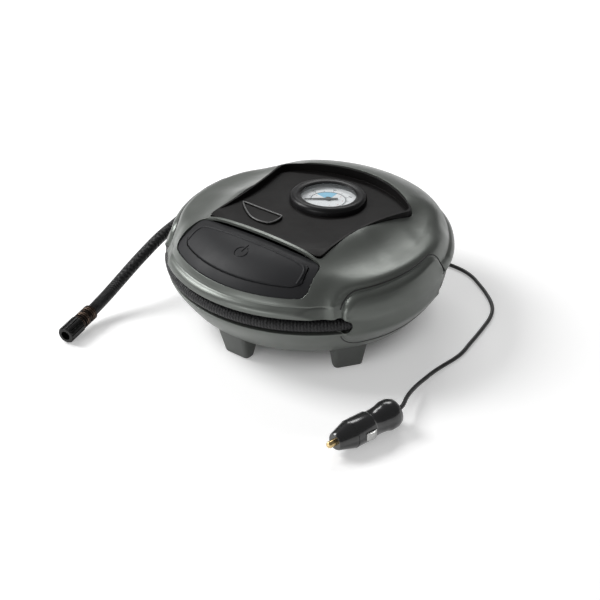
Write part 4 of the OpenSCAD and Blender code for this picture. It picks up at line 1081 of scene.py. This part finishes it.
def figure(text, radius, share, size):
    """A raised figure on the dial's scale."""
    curve = bpy.data.curves.new("figure", "FONT")
    curve.body, curve.size, curve.extrude = text, size * MM, 0.03 * MM
    curve.align_x = curve.align_y = "CENTER"
    curve.resolution_u = 3
    draft = bpy.data.objects.new("figure", curve)
    bpy.context.collection.objects.link(draft)
    mark = as_mesh(draft)
    a = math.radians(scale_angle(share))
    mark.transform(Matrix.Translation((radius * math.cos(a) * MM, radius * math.sin(a) * MM,
                                       (FACE + 0.05) * MM)))
    return mark


def print_on_dial(name, marks, material):
    """Joins marks into one piece and lays it on the tilted dial."""
    whole = bmesh.new()
    for mark in marks:
        whole.from_mesh(mark)
        bpy.data.meshes.remove(mark)
    bmesh.ops.transform(whole, matrix=to_panel, verts=whole.verts)
    from_bmesh(name, whole, material, "housing", smooth=False)


def gauge_face():
    """The dial's print: a band, a line with its ticks, and two rows of figures."""
    print_on_dial("dial_safe_band", [ring_sector(*BAND, scale_angle(BAND_TO), scale_angle(BAND_FROM))],
                  print_blue)
    marks = [ring_sector(SCALE_R, LINE_R, scale_angle(1.0), scale_angle(0.0))]
    for i in range(SCALE_STEPS + 1):
        a = scale_angle(i / SCALE_STEPS)
        half, reach = (0.7, LONG_R) if i % 5 == 0 else (0.4, SHORT_R)
        marks.append(ring_sector(LINE_R, reach, a - half, a + half))
    print_on_dial("dial_scale", marks, print_dark)
    print_on_dial("dial_figures", [figure(str(i * 10), 18.2, i / 10, 3.1) for i in range(0, 11, 2)],
                  print_dark)
    print_on_dial("dial_inner_figures", [figure(str(i), 11.2, i / 7 * INNER_TOP, 1.9) for i in range(8)],
                  print_red)


gauge_face()


# ---------------------------------------------------------------- room and light
SWEEP_LINE = [(0, 0), (1.2, 0), (3.2, 0), (3.55, 0.03), (3.8, 0.12), (3.95, 0.28), (4, 0.5)]
GLOW, SHADE_EDGE, FAR_EDGE = 0.36, (0.060, 0.104), (0.5, 2.0)


def white_floor():
    """A round white floor that curves up far away, where camera and shiny pieces see it lit."""
    bm = bmesh.new()
    sweep = [bm.verts.new((r, 0, z - 0.0002)) for r, z in SWEEP_LINE]
    line = [bm.edges.new(pair) for pair in zip(sweep[:-1], sweep[1:])]
    bmesh.ops.spin(bm, geom=sweep + line, cent=(0, 0, 0), axis=(0, 0, 1), angle=math.tau, steps=96,
                   use_merge=True)
    bmesh.ops.remove_doubles(bm, verts=bm.verts, dist=0.0001)
    bmesh.ops.recalc_face_normals(bm, faces=bm.faces)
    floor = draft_object("floor", bm)
    floor.data.materials.append(floor_paper())


def floor_paper():
    """White paper whose glow fades out under the object, which paints a shadow there, and grows far from it.
    """
    f = Nodes("floor_paper")
    paper = f.node("ShaderNodeBsdfDiffuse")
    paper.inputs["Color"].default_value = (0.86, 0.86, 0.86, 1)
    rays = f.node("ShaderNodeLightPath").outputs
    seen = f.math("MAXIMUM", rays["Is Camera Ray"], rays["Is Glossy Ray"])
    seen = f.math("MAXIMUM", seen, rays["Is Transmission Ray"])
    away = f.node("ShaderNodeVectorMath", operation="LENGTH")
    f.link(f.place(), away.inputs[0])
    # painted shadow: the glow is taken away near the middle, so the floor under the object reads dark
    near = f.spread(away.outputs["Value"], 0.0, GLOW, *SHADE_EDGE, kind="SMOOTHSTEP")
    far = f.spread(away.outputs["Value"], 0.0, GLOW, *FAR_EDGE)
    glow = f.node("ShaderNodeEmission")
    f.link(f.math("MULTIPLY", seen, f.math("ADD", near, far)), glow.inputs["Strength"])
    both = f.node("ShaderNodeAddShader")
    f.link(paper.outputs[0], both.inputs[0])
    f.link(glow.outputs[0], both.inputs[1])
    f.link(both.outputs[0], f.out.inputs["Surface"])
    return f.material


def white_world():
    world = bpy.data.worlds.new("studio")
    bpy.context.scene.world = world
    world.use_nodes = True
    tree = world.node_tree
    tree.nodes.clear()
    out = tree.nodes.new("ShaderNodeOutputWorld")
    back = tree.nodes.new("ShaderNodeBackground")
    back.inputs["Color"].default_value = (1, 1, 1, 1)
    back.inputs["Strength"].default_value = 0.20
    tree.links.new(back.outputs[0], out.inputs["Surface"])


def lamp(name, at, target, size, power):
    data = bpy.data.lights.new(name, "AREA")
    data.shape = "RECTANGLE"
    data.size, data.size_y = size
    data.energy = power
    made = bpy.data.objects.new(name, data)
    made.location = at
    made.rotation_euler = (Vector(target) - Vector(at)).to_track_quat("-Z", "Y").to_euler()
    bpy.context.collection.objects.link(made)


white_floor()
white_world()
LAMPS = [("key_left", (-1.6, -0.55, 1.5), 0.03, (1.0, 1.0), 40),
         ("top_strip", (-0.75, 1.05, 1.3), 0.05, (1.0, 0.4), 9),
         ("front_low", (-0.1, -1.9, 0.55), 0.04, (1.2, 0.5), 9)]
for name, at, target_z, size, power in LAMPS:
    lamp(name, at, (0, 0, target_z), size, power)

bpy.context.scene.view_settings.view_transform = "Standard"

bpy.context.view_layer.update()
